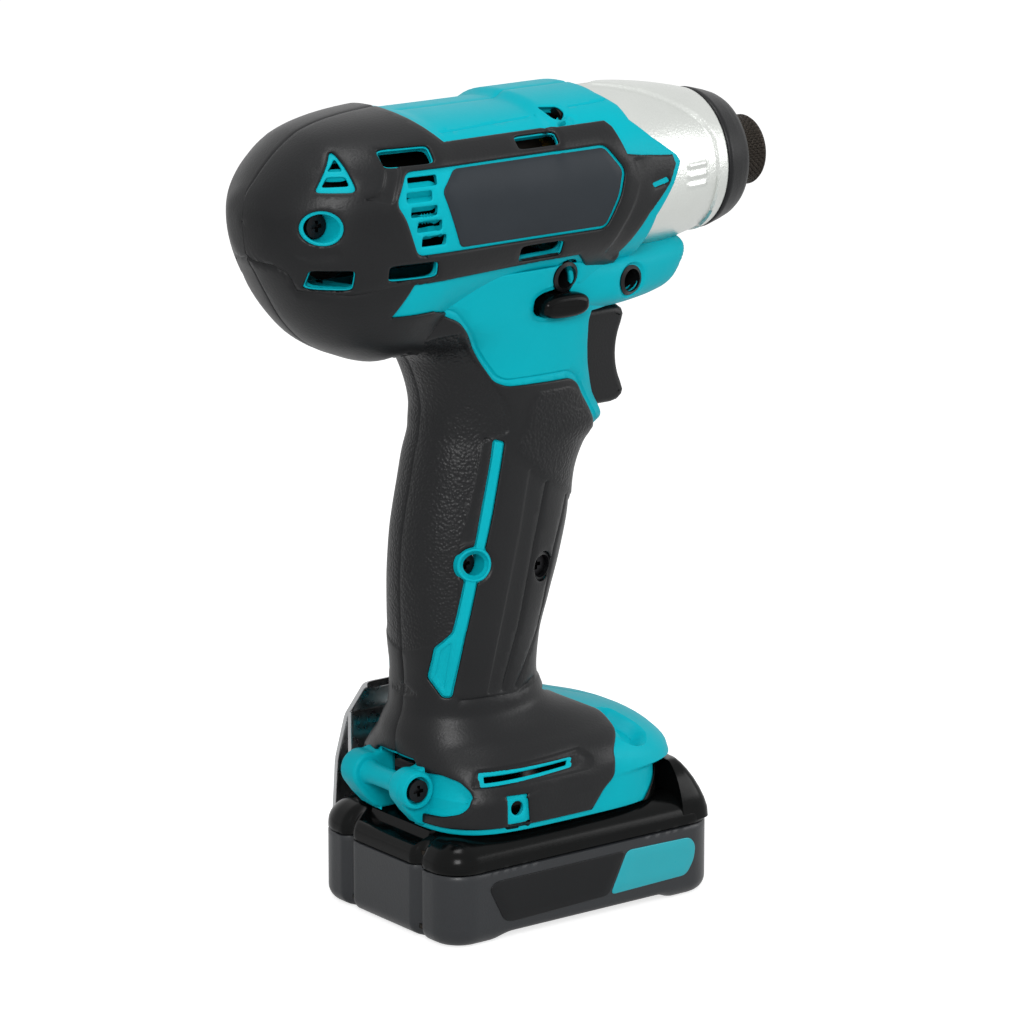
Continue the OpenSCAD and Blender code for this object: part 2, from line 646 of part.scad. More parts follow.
module hammer_case() color(cast_metal) difference() {
    union() {
        case_form(0);
        case_ears(0);
        rod(case_face_x - over, case_face_x + case_boss_l, case_boss_r);
    }
    rod(case_rear_x - over, nose_wall_x, case_bore);
    rod(nose_wall_x - over, nose_wall_x + bush_l, bush_r);
    rod(nose_wall_x, case_face_x + case_boss_l + over, anvil_r + move_gap);
    for (a = ear_angles) ear_rod(a, ear_x - over, ear_x + ear_l + over, screw_r + fit_gap);
}

ring_gap = 2;
module nose_ring() color(elastomer) difference() {
    along_axis(case_face_x) cylinder(h = ring_l, r1 = case_face_r, r2 = ring_front_r);
    rod(case_face_x - over, case_face_x + case_boss_l + fit_gap, case_boss_r + fit_gap);
    rod(case_face_x, case_face_x + ring_l + over, sleeve_r + ring_gap);
}

// A screw along -Z from its head's outer face at zero, with a cross recess
module cross_screw(length) {
    recess_half_w = screw_head_r / 6;
    recess_half_l = screw_head_r / 2;
    difference() {
        translate([0, 0, -screw_head_h]) cylinder(h = screw_head_h, r = screw_head_r);
        for (turn = [0, 90]) rotate([0, 0, turn])
            translate([-recess_half_l, -recess_half_w, -screw_head_h / 2])
                cube([2 * recess_half_l, 2 * recess_half_w, screw_head_h]);
    }
    translate([0, 0, -length]) cylinder(h = length - screw_head_h, r = screw_r);
}
module side_screw(x, z, y, side, length) translate([x, side * y, z])
    rotate([side == left ? -90 : 90, 0, 0]) cross_screw(length);

module housing_screws() color(satin_black)
    for (p = screw_places) side_screw(p[0], p[1], screw_head_y, right, screw_l);
module cover_screws() color(satin_black)
    for (side = [right, left]) side_screw(cover_screw_x, axis_z, cover_screw_y, side, cover_screw_l);
module strap_screw() color(satin_black) side_screw(lug_x, lug_z, lug_out_y, right, screw_l);
module case_screws() color(dark_steel) for (a = ear_angles) around_axis(a)
    translate([ear_x - fit_gap - 2 * screw_head_h, ear_orbit, 0]) rotate([0, -90, 0])
        cross_screw(case_screw_l);

// A bent strip, drawn in Y and Z: each side of it lies half a thickness from the middle line
function unit(v) = v / norm(v);
function strip_side(path, side) = [for (i = [0 : len(path) - 1])
    let (u = unit(path[max(i, 1)] - path[max(i, 1) - 1]),
        w = unit(path[min(i + 1, len(path) - 1)] - path[min(i, len(path) - 2)]),
        m = unit([-u[1] - w[1], u[0] + w[0]]))
    path[i] + side * hook_t / 2 / (m * [-u[1], u[0]]) * m];
module strip_outline_along(path) polygon(concat(strip_side(path, left),
    [for (i = [len(path) - 1 : -1 : 0]) strip_side(path, right)[i]]));
module belt_hook() color(bright_steel) difference() {
    translate([hook_x - hook_w / 2, 0, 0]) rotate([90, 0, 90]) linear_extrude(height = hook_w) {
        strip_outline_along(hook_base_path);
        strip_outline_along(hook_strip_path);
    }
    along_y(hook_x, hook_foot_z, hook_base_y + hook_t) {
        translate([0, 0, -over]) cylinder(h = hook_t + 2 * over, r = screw_r + 2 * fit_gap);
        cylinder(h = hook_t, r1 = hook_screw_head_r + fit_gap, r2 = screw_r + fit_gap);
    }
}
module hook_screw() color(bright_steel) along_y(hook_x, hook_foot_z, hook_base_y + hook_t) {
    cylinder(h = hook_t, r1 = hook_screw_head_r, r2 = screw_r);
    cylinder(h = hook_screw_l, r = screw_r);
}

module lamp_lens() color(clear_lens) translate([lamp_rear_x, 0, lamp_z]) rotate([0, 90, 0])
    cylinder(h = lamp_l, r = lamp_r);
board_t = 1.2;
lamp_board_half_w = 3;
lamp_board_half_h = 1.3;
module lamp_board() color("darkgreen")
    translate([lamp_rear_x - board_t, -lamp_board_half_w, lamp_z - lamp_board_half_h])
        cube([board_t, 2 * lamp_board_half_w, 2 * lamp_board_half_h]);

module switch_body() color(gloss_black) difference() {
    translate([switch_front_x - switch_l, -switch_half_w, switch_z0])
        cube([switch_l, 2 * switch_half_w, switch_z1 - switch_z0]);
    translate([switch_front_x + over, 0, (switch_z0 + switch_z1) / 2]) rotate([0, -90, 0])
        cylinder(h = switch_l - 2 * over, r = plunger_r + move_gap);
}

blade_t = 0.8;
blade_h = 2.4;
blade_l = 10;
blade_places = [-9, 0, 9];
block_l = 4.6;
block_half_w = 13;
block_h = 7;
block_z = foot_z + wall + fit_gap;
blade_z = battery_h + rail_h + (flange_h - blade_h) / 2;
block_front_x = rail_rear_x - 2 * move_gap;
module terminal_block() color(satin_black) difference() {
    translate([block_front_x - block_l, -block_half_w, block_z]) cube([block_l, 2 * block_half_w, block_h]);
    for (y = blade_places)
        translate([block_front_x - block_l / 2, y - blade_t / 2 - fit_gap, blade_z - fit_gap])
            cube([block_l, blade_t + 2 * fit_gap, blade_h + 2 * fit_gap]);
}
module terminal_blades() color(brass) for (y = blade_places)
    translate([block_front_x - block_l / 2 + fit_gap, y - blade_t / 2, blade_z])
        cube([blade_l + block_l / 2, blade_t, blade_h]);

module motor_can() color(dark_steel) {
    tube(can_rear_x, can_front_x, can_r, can_r - can_wall);
    difference() {
        union() {
            rod(can_front_x - can_wall, can_front_x, can_r - can_wall / 2);
            rod(can_front_x - can_wall, can_front_x + bearing_l - can_wall, hub_r);
        }
        rod(can_front_x - can_wall - over, can_front_x + bearing_l, bearing_r + shaft_gap);
    }
}
magnet_t = 2.4;
magnet_angle = 130;
magnet_l = 28.5;
magnet_inset = 4;
magnet_x = can_rear_x + magnet_inset;
module motor_magnets() color("dimgray") for (turn = [0, 180]) around_axis(turn + 90) intersection() {
    translate([magnet_x, 0, 0]) rotate([0, 90, 0]) difference() {
        cylinder(h = magnet_l, r = can_r - can_wall - fit_gap);
        translate([0, 0, -over]) cylinder(h = magnet_l + 2 * over, r = can_r - can_wall - fit_gap - magnet_t);
    }
    translate([magnet_x - over, can_r * cos(magnet_angle / 2), -can_r])
        cube([magnet_l + 2 * over, can_r, 2 * can_r]);
}

brush_l = 4.4;
brush_w = 4;
bell_wall = 1.3;
bell_boss_r = 2.3;
bell_boss_half = 9.6;
brush_x = bell_rear_x + bell_wall + shaft_gap;
module brush_boxes(grow) for (turn = [0, 180]) around_axis(turn)
    translate([brush_x - grow, commutator_r + fit_gap - grow, -brush_w / 2 - grow])
        cube([brush_w + 2 * grow, brush_l + 2 * grow, brush_w + 2 * grow]);
module end_bell() color(satin_black) difference() {
    union() {
        rod(bell_rear_x, can_rear_x, bell_r);
        rod(bell_rear_x - hub_l, bell_rear_x + over, hub_r);
        along_y(cover_screw_x, axis_z, bell_boss_half) cylinder(h = 2 * bell_boss_half, r = bell_boss_r);
    }
    rod(bell_rear_x + bell_wall, can_rear_x + over, bell_r - bell_wall);
    rod(bell_rear_x - hub_l - over, bell_rear_x - hub_l + bearing_l + fit_gap, bearing_r + shaft_gap);
    rod(bell_rear_x - hub_l, bell_rear_x + over + bell_wall, motor_shaft_r + move_gap);
    along_y(cover_screw_x, axis_z, barrel_half_w) cylinder(h = 2 * barrel_half_w, r = screw_r + shaft_gap);
    brush_boxes(fit_gap);
}
module brushes() color("black") brush_boxes(0);
module motor_bearings() color(bright_steel) {
    tube(bell_rear_x - hub_l, bell_rear_x - hub_l + bearing_l, bearing_r, motor_shaft_r + shaft_gap);
    tube(can_front_x - can_wall, can_front_x - can_wall + bearing_l, bearing_r, motor_shaft_r + shaft_gap);
}

module gear_cover() color(cast_metal)
    tube(case_rear_x, case_rear_x + cover_t, case_bore - fit_gap, motor_shaft_r + 2 * move_gap + gear_module);
module gear_solid(teeth, x, length, turn) along_axis(x) rotate([0, 0, turn])
    linear_extrude(height = length) polygon(gear_points(teeth, addendum_share, dedendum_share, backlash));
module ring_gear() color(dark_steel) difference() {
    rod(ring_gear_x, ring_gear_x + ring_gear_l, case_bore - fit_gap);
    along_axis(ring_gear_x - over) rotate([0, 0, 180 / ring_teeth])
        linear_extrude(height = ring_gear_l + 2 * over)
            polygon(gear_points(ring_teeth, dedendum_share, addendum_share, -backlash));
}
module carrier_bush() color(brass)
    tube(carrier_x, carrier_front_x, case_bore - fit_gap, carrier_r + shaft_gap);
module front_bush() color(brass)
    tube(nose_wall_x, nose_wall_x + bush_l, bush_r - shaft_gap, anvil_r + shaft_gap);
module thrust_washer() color(bright_steel)
    tube(nose_wall_x - washer_t, nose_wall_x, washer_r, anvil_r + move_gap);

rotor_rear_x = bell_rear_x - hub_l - fit_gap;
module rotor_shaft() color(bright_steel) {
    rod(rotor_rear_x, planet_x, motor_shaft_r);
    gear_solid(sun_teeth, planet_x - over, planet_l + over, 0);
}
core_l = 25.5;
core_inset = 1.5;
core_x = magnet_x + core_inset;
core_slots = 8;
core_slot_w = 2;
winding_r = 10.4;
winding_l = 2.6;
module armature_core() color(copper) difference() {
    union() {
        rod(core_x, core_x + core_l, core_r);
        rod(core_x - winding_l, core_x + core_l + winding_l, winding_r);
    }
    for (i = [0 : core_slots - 1]) around_axis(360 * i / core_slots)
        translate([core_x - over, winding_r - over, -core_slot_w / 2])
            cube([core_l + 2 * over, core_r, core_slot_w]);
    rod(core_x - winding_l - over, core_x + core_l + winding_l + over, motor_shaft_r + fit_gap);
}
module commutator() color(copper)
    tube(bell_rear_x + bell_wall + move_gap, core_x - winding_l - fit_gap, commutator_r,
        motor_shaft_r + fit_gap);
fan_x = can_front_x + bearing_l - can_wall + move_gap;
fan_l = case_rear_x - 2 * move_gap - fan_x;
fan_plate_t = 1.4;
fan_blades = 11;
fan_hub_r = 4.6;
module fan() color(satin_black) difference() {
    union() {
        rod(fan_x, fan_x + fan_l, fan_hub_r);
        rod(fan_x + fan_l - fan_plate_t, fan_x + fan_l, fan_r);
        for (i = [0 : fan_blades - 1]) around_axis(360 * i / fan_blades)
            translate([fan_x, fan_hub_r - over, -fan_plate_t / 2])
                cube([fan_l, fan_r - fan_hub_r, fan_plate_t]);
    }
    rod(fan_x - over, fan_x + fan_l + over, motor_shaft_r + fit_gap);
}

cam_ball_x = hammer_rear_x + hammer_l / 2 - hammer_travel / 2;
cam_angles = [45, 225];
module spindle() color(bright_steel) difference() {
    union() {
        rod(carrier_x, carrier_front_x, carrier_r);
        rod(carrier_x, jaw_rear_x - fit_gap, spindle_r);
        rod(carrier_x, jaw_rear_x + pilot_l - fit_gap, pilot_r);
    }
    for (a = cam_angles) around_axis(a) translate([cam_ball_x, spindle_r, 0]) sphere(r = cam_ball_r + fit_gap);
    for (i = [0 : planets - 1]) around_axis(360 * i / planets) translate([carrier_x - over, planet_orbit, 0])
        rotate([0, 90, 0]) cylinder(h = carrier_t + 2 * over, r = pin_r + shaft_gap);
}
module planet_pins() color(dark_steel) for (i = [0 : planets - 1]) around_axis(360 * i / planets)
    translate([planet_x, planet_orbit, 0]) rotate([0, 90, 0])
        cylinder(h = carrier_front_x - planet_x, r = pin_r);
module cam_balls() color(bright_steel) for (a = cam_angles)
    around_axis(a) translate([cam_ball_x, spindle_r, 0]) sphere(r = cam_ball_r);
module planet_gear(i) color(dark_steel) around_axis(360 * i / planets) translate([planet_x, planet_orbit, 0])
    rotate([0, 90, 0]) difference() {
        rotate([0, 0, 90 + 180 / planet_teeth]) linear_extrude(height = planet_l)
            polygon(gear_points(planet_teeth, addendum_share, dedendum_share, backlash));
        translate([0, 0, -over]) cylinder(h = planet_l + 2 * over, r = planet_bore);
    }
module planet_gear_1() planet_gear(0);
module planet_gear_2() planet_gear(1);
module planet_gear_3() planet_gear(2);

jaw_half_w = 4.5;
jaw_r = 14;
jaw_hub_r = 8;
slide_gap = 0.08;
spring_seat_l = 5;
hammer_spring_r = 9;
hammer_wire_r = 0.9;
hammer_turns = 4;
module jaw_bars(x0, x1, turn) around_axis(turn) intersection() {
    translate([x0, 0, 0]) rotate([0, 90, 0]) cylinder(h = x1 - x0, r = jaw_r);
    translate([x0, -jaw_r, -jaw_half_w]) cube([x1 - x0, 2 * jaw_r, 2 * jaw_half_w]);
}
module hammer() color(dark_steel) difference() {
    union() {
        rod(hammer_rear_x, hammer_front_x, hammer_r);
        difference() {
            jaw_bars(hammer_front_x - over, hammer_front_x + jaw_l, 90);
            rod(hammer_front_x, hammer_front_x + jaw_l + over, jaw_hub_r + move_gap);
        }
    }
    rod(hammer_rear_x - over, hammer_front_x + over, spindle_r + slide_gap);
    tube(hammer_rear_x - over, hammer_rear_x + spring_seat_l, hammer_spring_r + 2 * hammer_wire_r,
        hammer_spring_r - 2 * hammer_wire_r);
    for (a = cam_angles) around_axis(a) translate([cam_ball_x - cam_ball_r - move_gap, spindle_r, 0])
        rotate([0, 90, 0])
            cylinder(h = hammer_travel + 2 * (cam_ball_r + move_gap), r = cam_ball_r + move_gap);
}
module hammer_spring() color(bright_steel) along_axis(carrier_front_x + shaft_gap)
    coil(hammer_spring_r, hammer_wire_r, hammer_rear_x + spring_seat_l - carrier_front_x - 2 * shaft_gap,
        hammer_turns);

socket_l = 17;
anvil_inset = 0.6;
anvil_front_x = sleeve_front_x - anvil_inset;
sleeve_rear_x = case_face_x + case_boss_l + 2 * move_gap;
bit_ball_inset = 2.4;
bit_ball_x = sleeve_rear_x + bit_ball_inset;
sleeve_land_l = 4.8;
sleeve_wall = 0.9;
washer_inset = 3.8;
washer_x = sleeve_front_x - washer_inset;
sleeve_washer_t = 0.8;
ring_x = washer_x + sleeve_washer_t + shaft_gap;
retainer_t = 0.8;
groove_d = 0.6;
module anvil() color(dark_steel) difference() {
    union() {
        rod(jaw_rear_x, anvil_front_x, anvil_r);
        rod(jaw_rear_x, jaw_front_x, jaw_hub_r);
        jaw_bars(jaw_rear_x, jaw_front_x, 0);
    }
    rod(jaw_rear_x - over, jaw_rear_x + pilot_l + fit_gap, pilot_r + shaft_gap);
    along_axis(anvil_front_x - socket_l) cylinder(h = socket_l + over, r = bit_flats / sqrt(3), $fn = 6);
    translate([bit_ball_x, 0, axis_z - anvil_r - over])
        cylinder(h = 2 * (anvil_r + over), r = bit_ball_r + fit_gap);
    tube(ring_x - shaft_gap, ring_x + retainer_t + shaft_gap, anvil_r + over, anvil_r - groove_d);
}
module bit_balls() color(bright_steel) for (side = [-1, 1])
    translate([bit_ball_x, 0, axis_z + side * (anvil_r - bit_ball_r)]) sphere(r = bit_ball_r);
module sleeve_washer() color(bright_steel)
    tube(washer_x, washer_x + sleeve_washer_t, sleeve_r - sleeve_wall - 2 * fit_gap, anvil_r + shaft_gap);
module retaining_ring() color(dark_steel)
    tube(ring_x, ring_x + retainer_t, sleeve_r - sleeve_wall - 4 * fit_gap, anvil_r - groove_d + shaft_gap);
sleeve_wire_r = 0.4;
sleeve_turns = 4;
module sleeve_spring() color(bright_steel) along_axis(sleeve_rear_x + sleeve_land_l + shaft_gap)
    coil((sleeve_r - sleeve_wall + anvil_r) / 2, sleeve_wire_r,
        washer_x - sleeve_rear_x - sleeve_land_l - 2 * shaft_gap, sleeve_turns);
knurl_count = 36;
knurl_d = 0.3;
knurl_inset = 1.2;
knurl_x = case_face_x + ring_l + knurl_inset;
module bit_sleeve() color(dark_steel) difference() {
    rod(sleeve_rear_x, sleeve_front_x, sleeve_r);
    rod(sleeve_rear_x - over, sleeve_front_x, anvil_r + slide_gap);
    rod(sleeve_rear_x + sleeve_land_l, sleeve_front_x + over, sleeve_r - sleeve_wall);
    for (i = [0 : knurl_count - 1]) around_axis(360 * i / knurl_count)
        translate([knurl_x, sleeve_r - knurl_d, -knurl_d])
            cube([sleeve_front_x - knurl_x + over, over, 2 * knurl_d]);
}

// Trigger with its hollow front, its rear spring seat and its plunger
trigger_scoop_r = 17;
trigger_spring_r = 3.4;
trigger_wire_r = 0.4;
trigger_seat_l = 8;
trigger_turns = 6;
trigger_mid_z = (switch_z0 + switch_z1) / 2;
module trigger() color(elastomer) {
    difference() {
        translate([0, trigger_half_w, 0]) rotate([90, 0, 0]) linear_extrude(height = 2 * trigger_half_w)
            difference() {
                polygon([[trigger_rear_x, trigger_z0], [trigger_nose_x, trigger_z0],
                    [trigger_nose_x - skin, trigger_z1], [trigger_rear_x, trigger_z1]]);
                translate([trigger_nose_x + trigger_scoop_r - 2 * skin, (trigger_z0 + trigger_z1) / 2])
                    circle(r = trigger_scoop_r);
            }
        translate([trigger_rear_x - over, 0, trigger_mid_z]) rotate([0, 90, 0])
            cylinder(h = trigger_seat_l + over, r = trigger_spring_r + 2 * trigger_wire_r);
    }
    translate([trigger_rear_x - plunger_l, 0, trigger_mid_z]) rotate([0, 90, 0])
        cylinder(h = plunger_l + trigger_seat_l + over, r = plunger_r);
}
module trigger_spring() color(bright_steel) translate([switch_front_x + shaft_gap, 0, trigger_mid_z])
    rotate([0, 90, 0]) coil(trigger_spring_r, trigger_wire_r,
        trigger_rear_x + trigger_seat_l - switch_front_x - 2 * shaft_gap, trigger_turns);

// Reversing button: one bar right through the housing, with rounded ends
module reverse_button() color(gloss_black) {
    core_half_l = reverse_half_l - reverse_half_h;
    translate([reverse_x - core_half_l, -reverse_half_w, reverse_z - reverse_half_h])
        cube([2 * core_half_l, 2 * reverse_half_w, 2 * reverse_half_h]);
    for (side = [-1, 1]) along_y(reverse_x + side * core_half_l, reverse_z, reverse_half_w)
        cylinder(h = 2 * reverse_half_w, r = reverse_half_h);
}

// A flat block with round upright corners, standing on zero
module battery_block(length, width, height, corner) translate([battery_mid_x, 0, 0]) {
    translate([-length / 2 + corner, -width / 2, 0]) cube([length - 2 * corner, width, height]);
    translate([-length / 2, -width / 2 + corner, 0]) cube([length, width - 2 * corner, height]);
    for (sx = [-1, 1], sy = [-1, 1])
        translate([sx * (length / 2 - corner), sy * (width / 2 - corner), 0]) cylinder(h = height, r = corner);
}
inner_corner = battery_corner - shell_wall;
module battery_space(z0, z1) translate([0, 0, z0])
    battery_block(battery_l - 2 * shell_wall, battery_w - 2 * shell_wall, z1 - z0, inner_corner);

// Side panels of the battery, with a slanted badge at their front end
panel_z = 10.3;
panel_half_h = 5.4;
panel_half_l = 31;
panel_t = 0.7;
badge_l = 24;
badge_slant = 6;
panel_gap = 0.2;
panel_outline = [
    [-panel_half_l, panel_z - panel_half_h], [panel_half_l - badge_l - badge_slant, panel_z - panel_half_h],
    [panel_half_l - badge_l, panel_z + panel_half_h], [-panel_half_l, panel_z + panel_half_h]];
badge_outline = [
    [panel_half_l - badge_l - badge_slant + panel_gap, panel_z - panel_half_h],
    [panel_half_l - panel_gap * 4, panel_z - panel_half_h], [panel_half_l, panel_z],
    [panel_half_l - badge_slant / 2, panel_z + panel_half_h],
    [panel_half_l - badge_l + panel_gap, panel_z + panel_half_h]];
module side_plates() for (side = [right, left])
    translate([0, side == left ? battery_w / 2 : panel_t - battery_w / 2, 0]) rotate([90, 0, 0])
        linear_extrude(height = panel_t) children();
battery_boss_r = 2.6;
battery_screw_places = [for (sx = [-1, 1], sy = [-1, 1])
    [battery_mid_x + sx * (battery_l / 2 - shell_wall / 2 - battery_boss_r),
        sy * (battery_w / 2 - 2 * battery_corner)]];
battery_screw_l = 20;
battery_screw_z = 2.4;
notch_half_w = 5;
notch_d = 1.2;
notch_y = 12;
module battery_case() color(satin_black) difference() {
    union() {
        difference() {
            battery_block(battery_l, battery_w, parting_z, battery_corner);
            battery_space(shell_wall, parting_z + over);
        }
        for (p = battery_screw_places) translate([p[0], p[1], 0]) cylinder(h = parting_z, r = battery_boss_r);
    }
    for (side = [right, left]) translate([-panel_half_l - panel_gap,
        side == left ? battery_w / 2 - panel_t : -battery_w / 2 - over, panel_z - panel_half_h - panel_gap])
            cube([2 * (panel_half_l + panel_gap), panel_t + over, 2 * (panel_half_h + panel_gap)]);
    for (side = [right, left]) translate([battery_rear_x - over, side * notch_y - notch_half_w, shell_wall])
        cube([notch_d + over, 2 * notch_half_w, parting_z - 2 * shell_wall]);
    for (p = battery_screw_places) translate([p[0], p[1], 0]) {
        translate([0, 0, -over]) cylinder(h = parting_z + 2 * over, r = screw_r + fit_gap);
        translate([0, 0, -over])
            cylinder(h = battery_screw_z + over + screw_head_h / 2, r = battery_boss_r - 3 * fit_gap);
    }
}
module battery_panels() color(satin_black) side_plates() polygon(panel_outline);
module battery_badges() color(teal) side_plates() polygon(badge_outline);

// Front block of the battery in side view, with the sloping front
block_outline = [
    [battery_rear_x, parting_z], [battery_front_x, parting_z], [battery_front_x, parting_z + 2 * foot_gap],
    [front_block_x + foot_gap, front_block_z], [front_block_x, front_block_z], [front_block_x, battery_h],
    [battery_rear_x, battery_h]];
button_inset = 2.6;
button_x0 = front_block_x + button_inset;
button_x1 = battery_front_x - button_inset;
button_half_w = 9;
button_drop = 2;
button_z0 = battery_h - button_drop;
button_spring_r = 1.25;
button_wire_r = 0.25;
button_seat_l = 0.8;
button_turns = 2;
button_mid_x = button_x0 + button_spring_r + 3 * button_wire_r;
module battery_cover() color(gloss_black) difference() {
    union() {
        difference() {
            intersection() {
                battery_block(battery_l, battery_w, front_block_z + over, battery_corner);
                side_prism() polygon(block_outline);
            }
            intersection() {
                battery_space(parting_z - over, battery_h - shell_wall);
                translate([-battery_l, -battery_w, 0])
                    cube([battery_l + button_x0 - move_gap - shell_wall / 2, 2 * battery_w, battery_l]);
            }
        }
        translate([rail_rear_x, -rail_half_w, battery_h - over])
            cube([front_block_x + over - rail_rear_x, 2 * rail_half_w, rail_h + 2 * over]);
        translate([rail_rear_x, -flange_half_w, battery_h + rail_h])
            cube([front_block_x + over - rail_rear_x, 2 * flange_half_w, flange_h]);
        for (p = battery_screw_places) translate([p[0], p[1], parting_z])
            cylinder(h = battery_h - parting_z - over, r = battery_boss_r);
    }
    translate([button_x0 - move_gap, -button_half_w - move_gap, button_z0 - button_travel - move_gap])
        cube([button_x1 - button_x0 + 2 * move_gap, 2 * (button_half_w + move_gap), front_block_z]);
    for (y = blade_places) translate([rail_rear_x - over, y - 2 * blade_t, blade_z - move_gap])
        cube([blade_l + 2 * over + move_gap, 4 * blade_t, front_block_z]);
    for (p = battery_screw_places) translate([p[0], p[1], parting_z - over])
        cylinder(h = battery_screw_l - parting_z + battery_screw_z + over + fit_gap, r = screw_r + fit_gap);
}
module battery_button() color(gloss_black) difference() {
    intersection() {
        translate([button_x0, -button_half_w, button_z0])
            cube([button_x1 - button_x0, 2 * button_half_w, front_block_z]);
        side_prism() polygon(block_outline);
    }
    translate([button_mid_x, 0, button_z0 - over])
        cylinder(h = button_seat_l + over, r = button_spring_r + 2 * button_wire_r);
}
button_floor_z = button_z0 - button_travel - move_gap;
module button_spring() color(bright_steel) translate([button_mid_x, 0, button_floor_z + shaft_gap])
    coil(button_spring_r, button_wire_r, button_z0 + button_seat_l - button_floor_z - 2 * shaft_gap,
        button_turns);

cell_z = shell_wall + cell_gap + cell_d / 2;
cells = 3;
cell_nub_r = 3;
cell_nub_l = 0.8;
module battery_cells() color("steelblue") for (i = [0 : cells - 1])
    translate([cell_mid_x - cell_l / 2, (i - 1) * (cell_d + cell_gap), cell_z]) rotate([0, 90, 0]) {
        cylinder(h = cell_l, r = cell_d / 2);
        cylinder(h = cell_l + cell_nub_l, r = cell_nub_r);
    }
battery_board_half_l = 27;
battery_board_half_w = 19;
battery_board_z = cell_z + cell_d / 2 + fit_gap;
module battery_board() color("darkgreen")
    translate([-battery_board_half_l, -battery_board_half_w, battery_board_z])
        cube([2 * battery_board_half_l, 2 * battery_board_half_w, board_t]);
contact_t = 0.5;
module battery_contacts() color(brass) for (y = blade_places)
    translate([rail_rear_x + over, y + 2 * blade_t - contact_t - shaft_gap, blade_z - move_gap + shaft_gap])
        cube([blade_l - over, contact_t, blade_h]);
module battery_screws() color(dark_steel) for (p = battery_screw_places)
    translate([p[0], p[1], battery_screw_z]) {
        cylinder(h = battery_screw_l, r = screw_r);
        cylinder(h = screw_head_h / 2, r = battery_boss_r - 4 * fit_gap);
    }

housing_right();
housing_left();
overmould_right();
overmould_left();
name_plates();
hammer_case();
nose_ring();
housing_screws();
cover_screws();
case_screws();
belt_hook();
hook_screw();
strap_screw();
lamp_lens();
lamp_board();
switch_body();
terminal_block();
terminal_blades();
motor_can();
motor_magnets();
end_bell();
brushes();
motor_bearings();
gear_cover();
ring_gear();
carrier_bush();
front_bush();
thrust_washer();
rotor_shaft();
armature_core();
commutator();
fan();
spindle();
planet_pins();
cam_balls();
planet_gear_1();
planet_gear_2();
planet_gear_3();
hammer();
hammer_spring();
anvil();
bit_balls();
sleeve_washer();
retaining_ring();
sleeve_spring();
bit_sleeve();
trigger();
trigger_spring();
reverse_button();
battery_case();
battery_cover();
battery_panels();
battery_badges();
battery_cells();
battery_board();
battery_contacts();
battery_screws();
battery_button();
button_spring();
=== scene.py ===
# %% [markdown]
# This lesson dresses the solids of a cordless impact driver for a studio picture. The solids come
# first, packed with their joints, and every new piece is placed in their frame. The big moulded
# shells, the battery and the bright strip are drawn again here as smooth surfaces, because moulded
# plastic lives from soft edges and fine grain. The machined pieces inside keep their solids.

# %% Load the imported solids
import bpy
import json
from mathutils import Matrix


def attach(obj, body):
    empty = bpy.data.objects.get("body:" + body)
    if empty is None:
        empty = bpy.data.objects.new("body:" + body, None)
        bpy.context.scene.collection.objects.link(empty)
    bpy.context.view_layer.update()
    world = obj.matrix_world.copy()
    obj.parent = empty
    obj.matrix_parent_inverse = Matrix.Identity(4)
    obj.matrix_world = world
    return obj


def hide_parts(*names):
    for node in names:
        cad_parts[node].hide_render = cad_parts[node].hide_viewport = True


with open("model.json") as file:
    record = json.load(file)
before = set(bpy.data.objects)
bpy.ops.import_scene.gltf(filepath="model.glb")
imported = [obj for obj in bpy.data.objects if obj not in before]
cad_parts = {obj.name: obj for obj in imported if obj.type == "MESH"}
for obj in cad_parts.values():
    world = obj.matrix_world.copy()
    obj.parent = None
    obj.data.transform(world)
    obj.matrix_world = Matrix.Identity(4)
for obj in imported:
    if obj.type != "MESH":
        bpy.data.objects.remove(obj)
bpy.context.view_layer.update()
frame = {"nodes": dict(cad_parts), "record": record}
import json
import bpy
import numpy as np
from mathutils import Vector
from mathutils.geometry import delaunay_2d_cdt
MM = 0.001

# %% [markdown]
# The camera stands where the photograph was taken: behind the tool's right side and a little above
# it, far off with a long lens, so that the edges stay nearly parallel. The standard view transform
# gives a colour back about as it is written.

# %% Camera
AIM = Vector((-3.353, 0, 99.077)) * MM
AZIMUTH, RISE, DISTANCE = np.radians(-37), np.radians(14.5), 1.36
camera = bpy.data.objects.new("camera", bpy.data.cameras.new("camera"))
bpy.context.scene.collection.objects.link(camera)
camera.location = AIM + DISTANCE * Vector((np.cos(RISE) * np.sin(AZIMUTH),
                                           -np.cos(RISE) * np.cos(AZIMUTH), np.sin(RISE)))
camera.rotation_euler = (AIM - camera.location).to_track_quat("-Z", "Y").to_euler()
camera.data.lens = 193.36
camera.data.clip_end = 50
bpy.context.scene.camera = camera
bpy.context.scene.view_settings.view_transform = "Standard"
print("camera at", [round(v, 3) for v in camera.location])

# %% [markdown]
# A material is a small tree of nodes. One function adds any node: its settings are attributes, and
# its inputs take either a plain value or another node's socket. Colours are written as on a colour
# card, in sRGB, and turned to linear light by one function.

# %% Colour and node helpers
def linear(card):
    """Linear colour of an sRGB hex value: each channel is raised by the sRGB curve."""
    share = np.array([int(card[k:k + 2], 16) for k in (1, 3, 5)]) / 255
    light = np.where(share > 0.04045, ((share + 0.055) / 1.055) ** 2.4, share / 12.92)
    return (*light.tolist(), 1.0)


def add(tree, kind, inputs=None, **settings):
    """Adds one node, sets its attributes, then its inputs by value or by a link from a socket."""
    node = tree.nodes.new("ShaderNode" + kind)
    for name, value in settings.items():
        setattr(node, name, value)
    for name, value in (inputs or {}).items():
        if isinstance(value, bpy.types.NodeSocket):
            tree.links.new(value, node.inputs[name])
        else:
            node.inputs[name].default_value = value
    return node


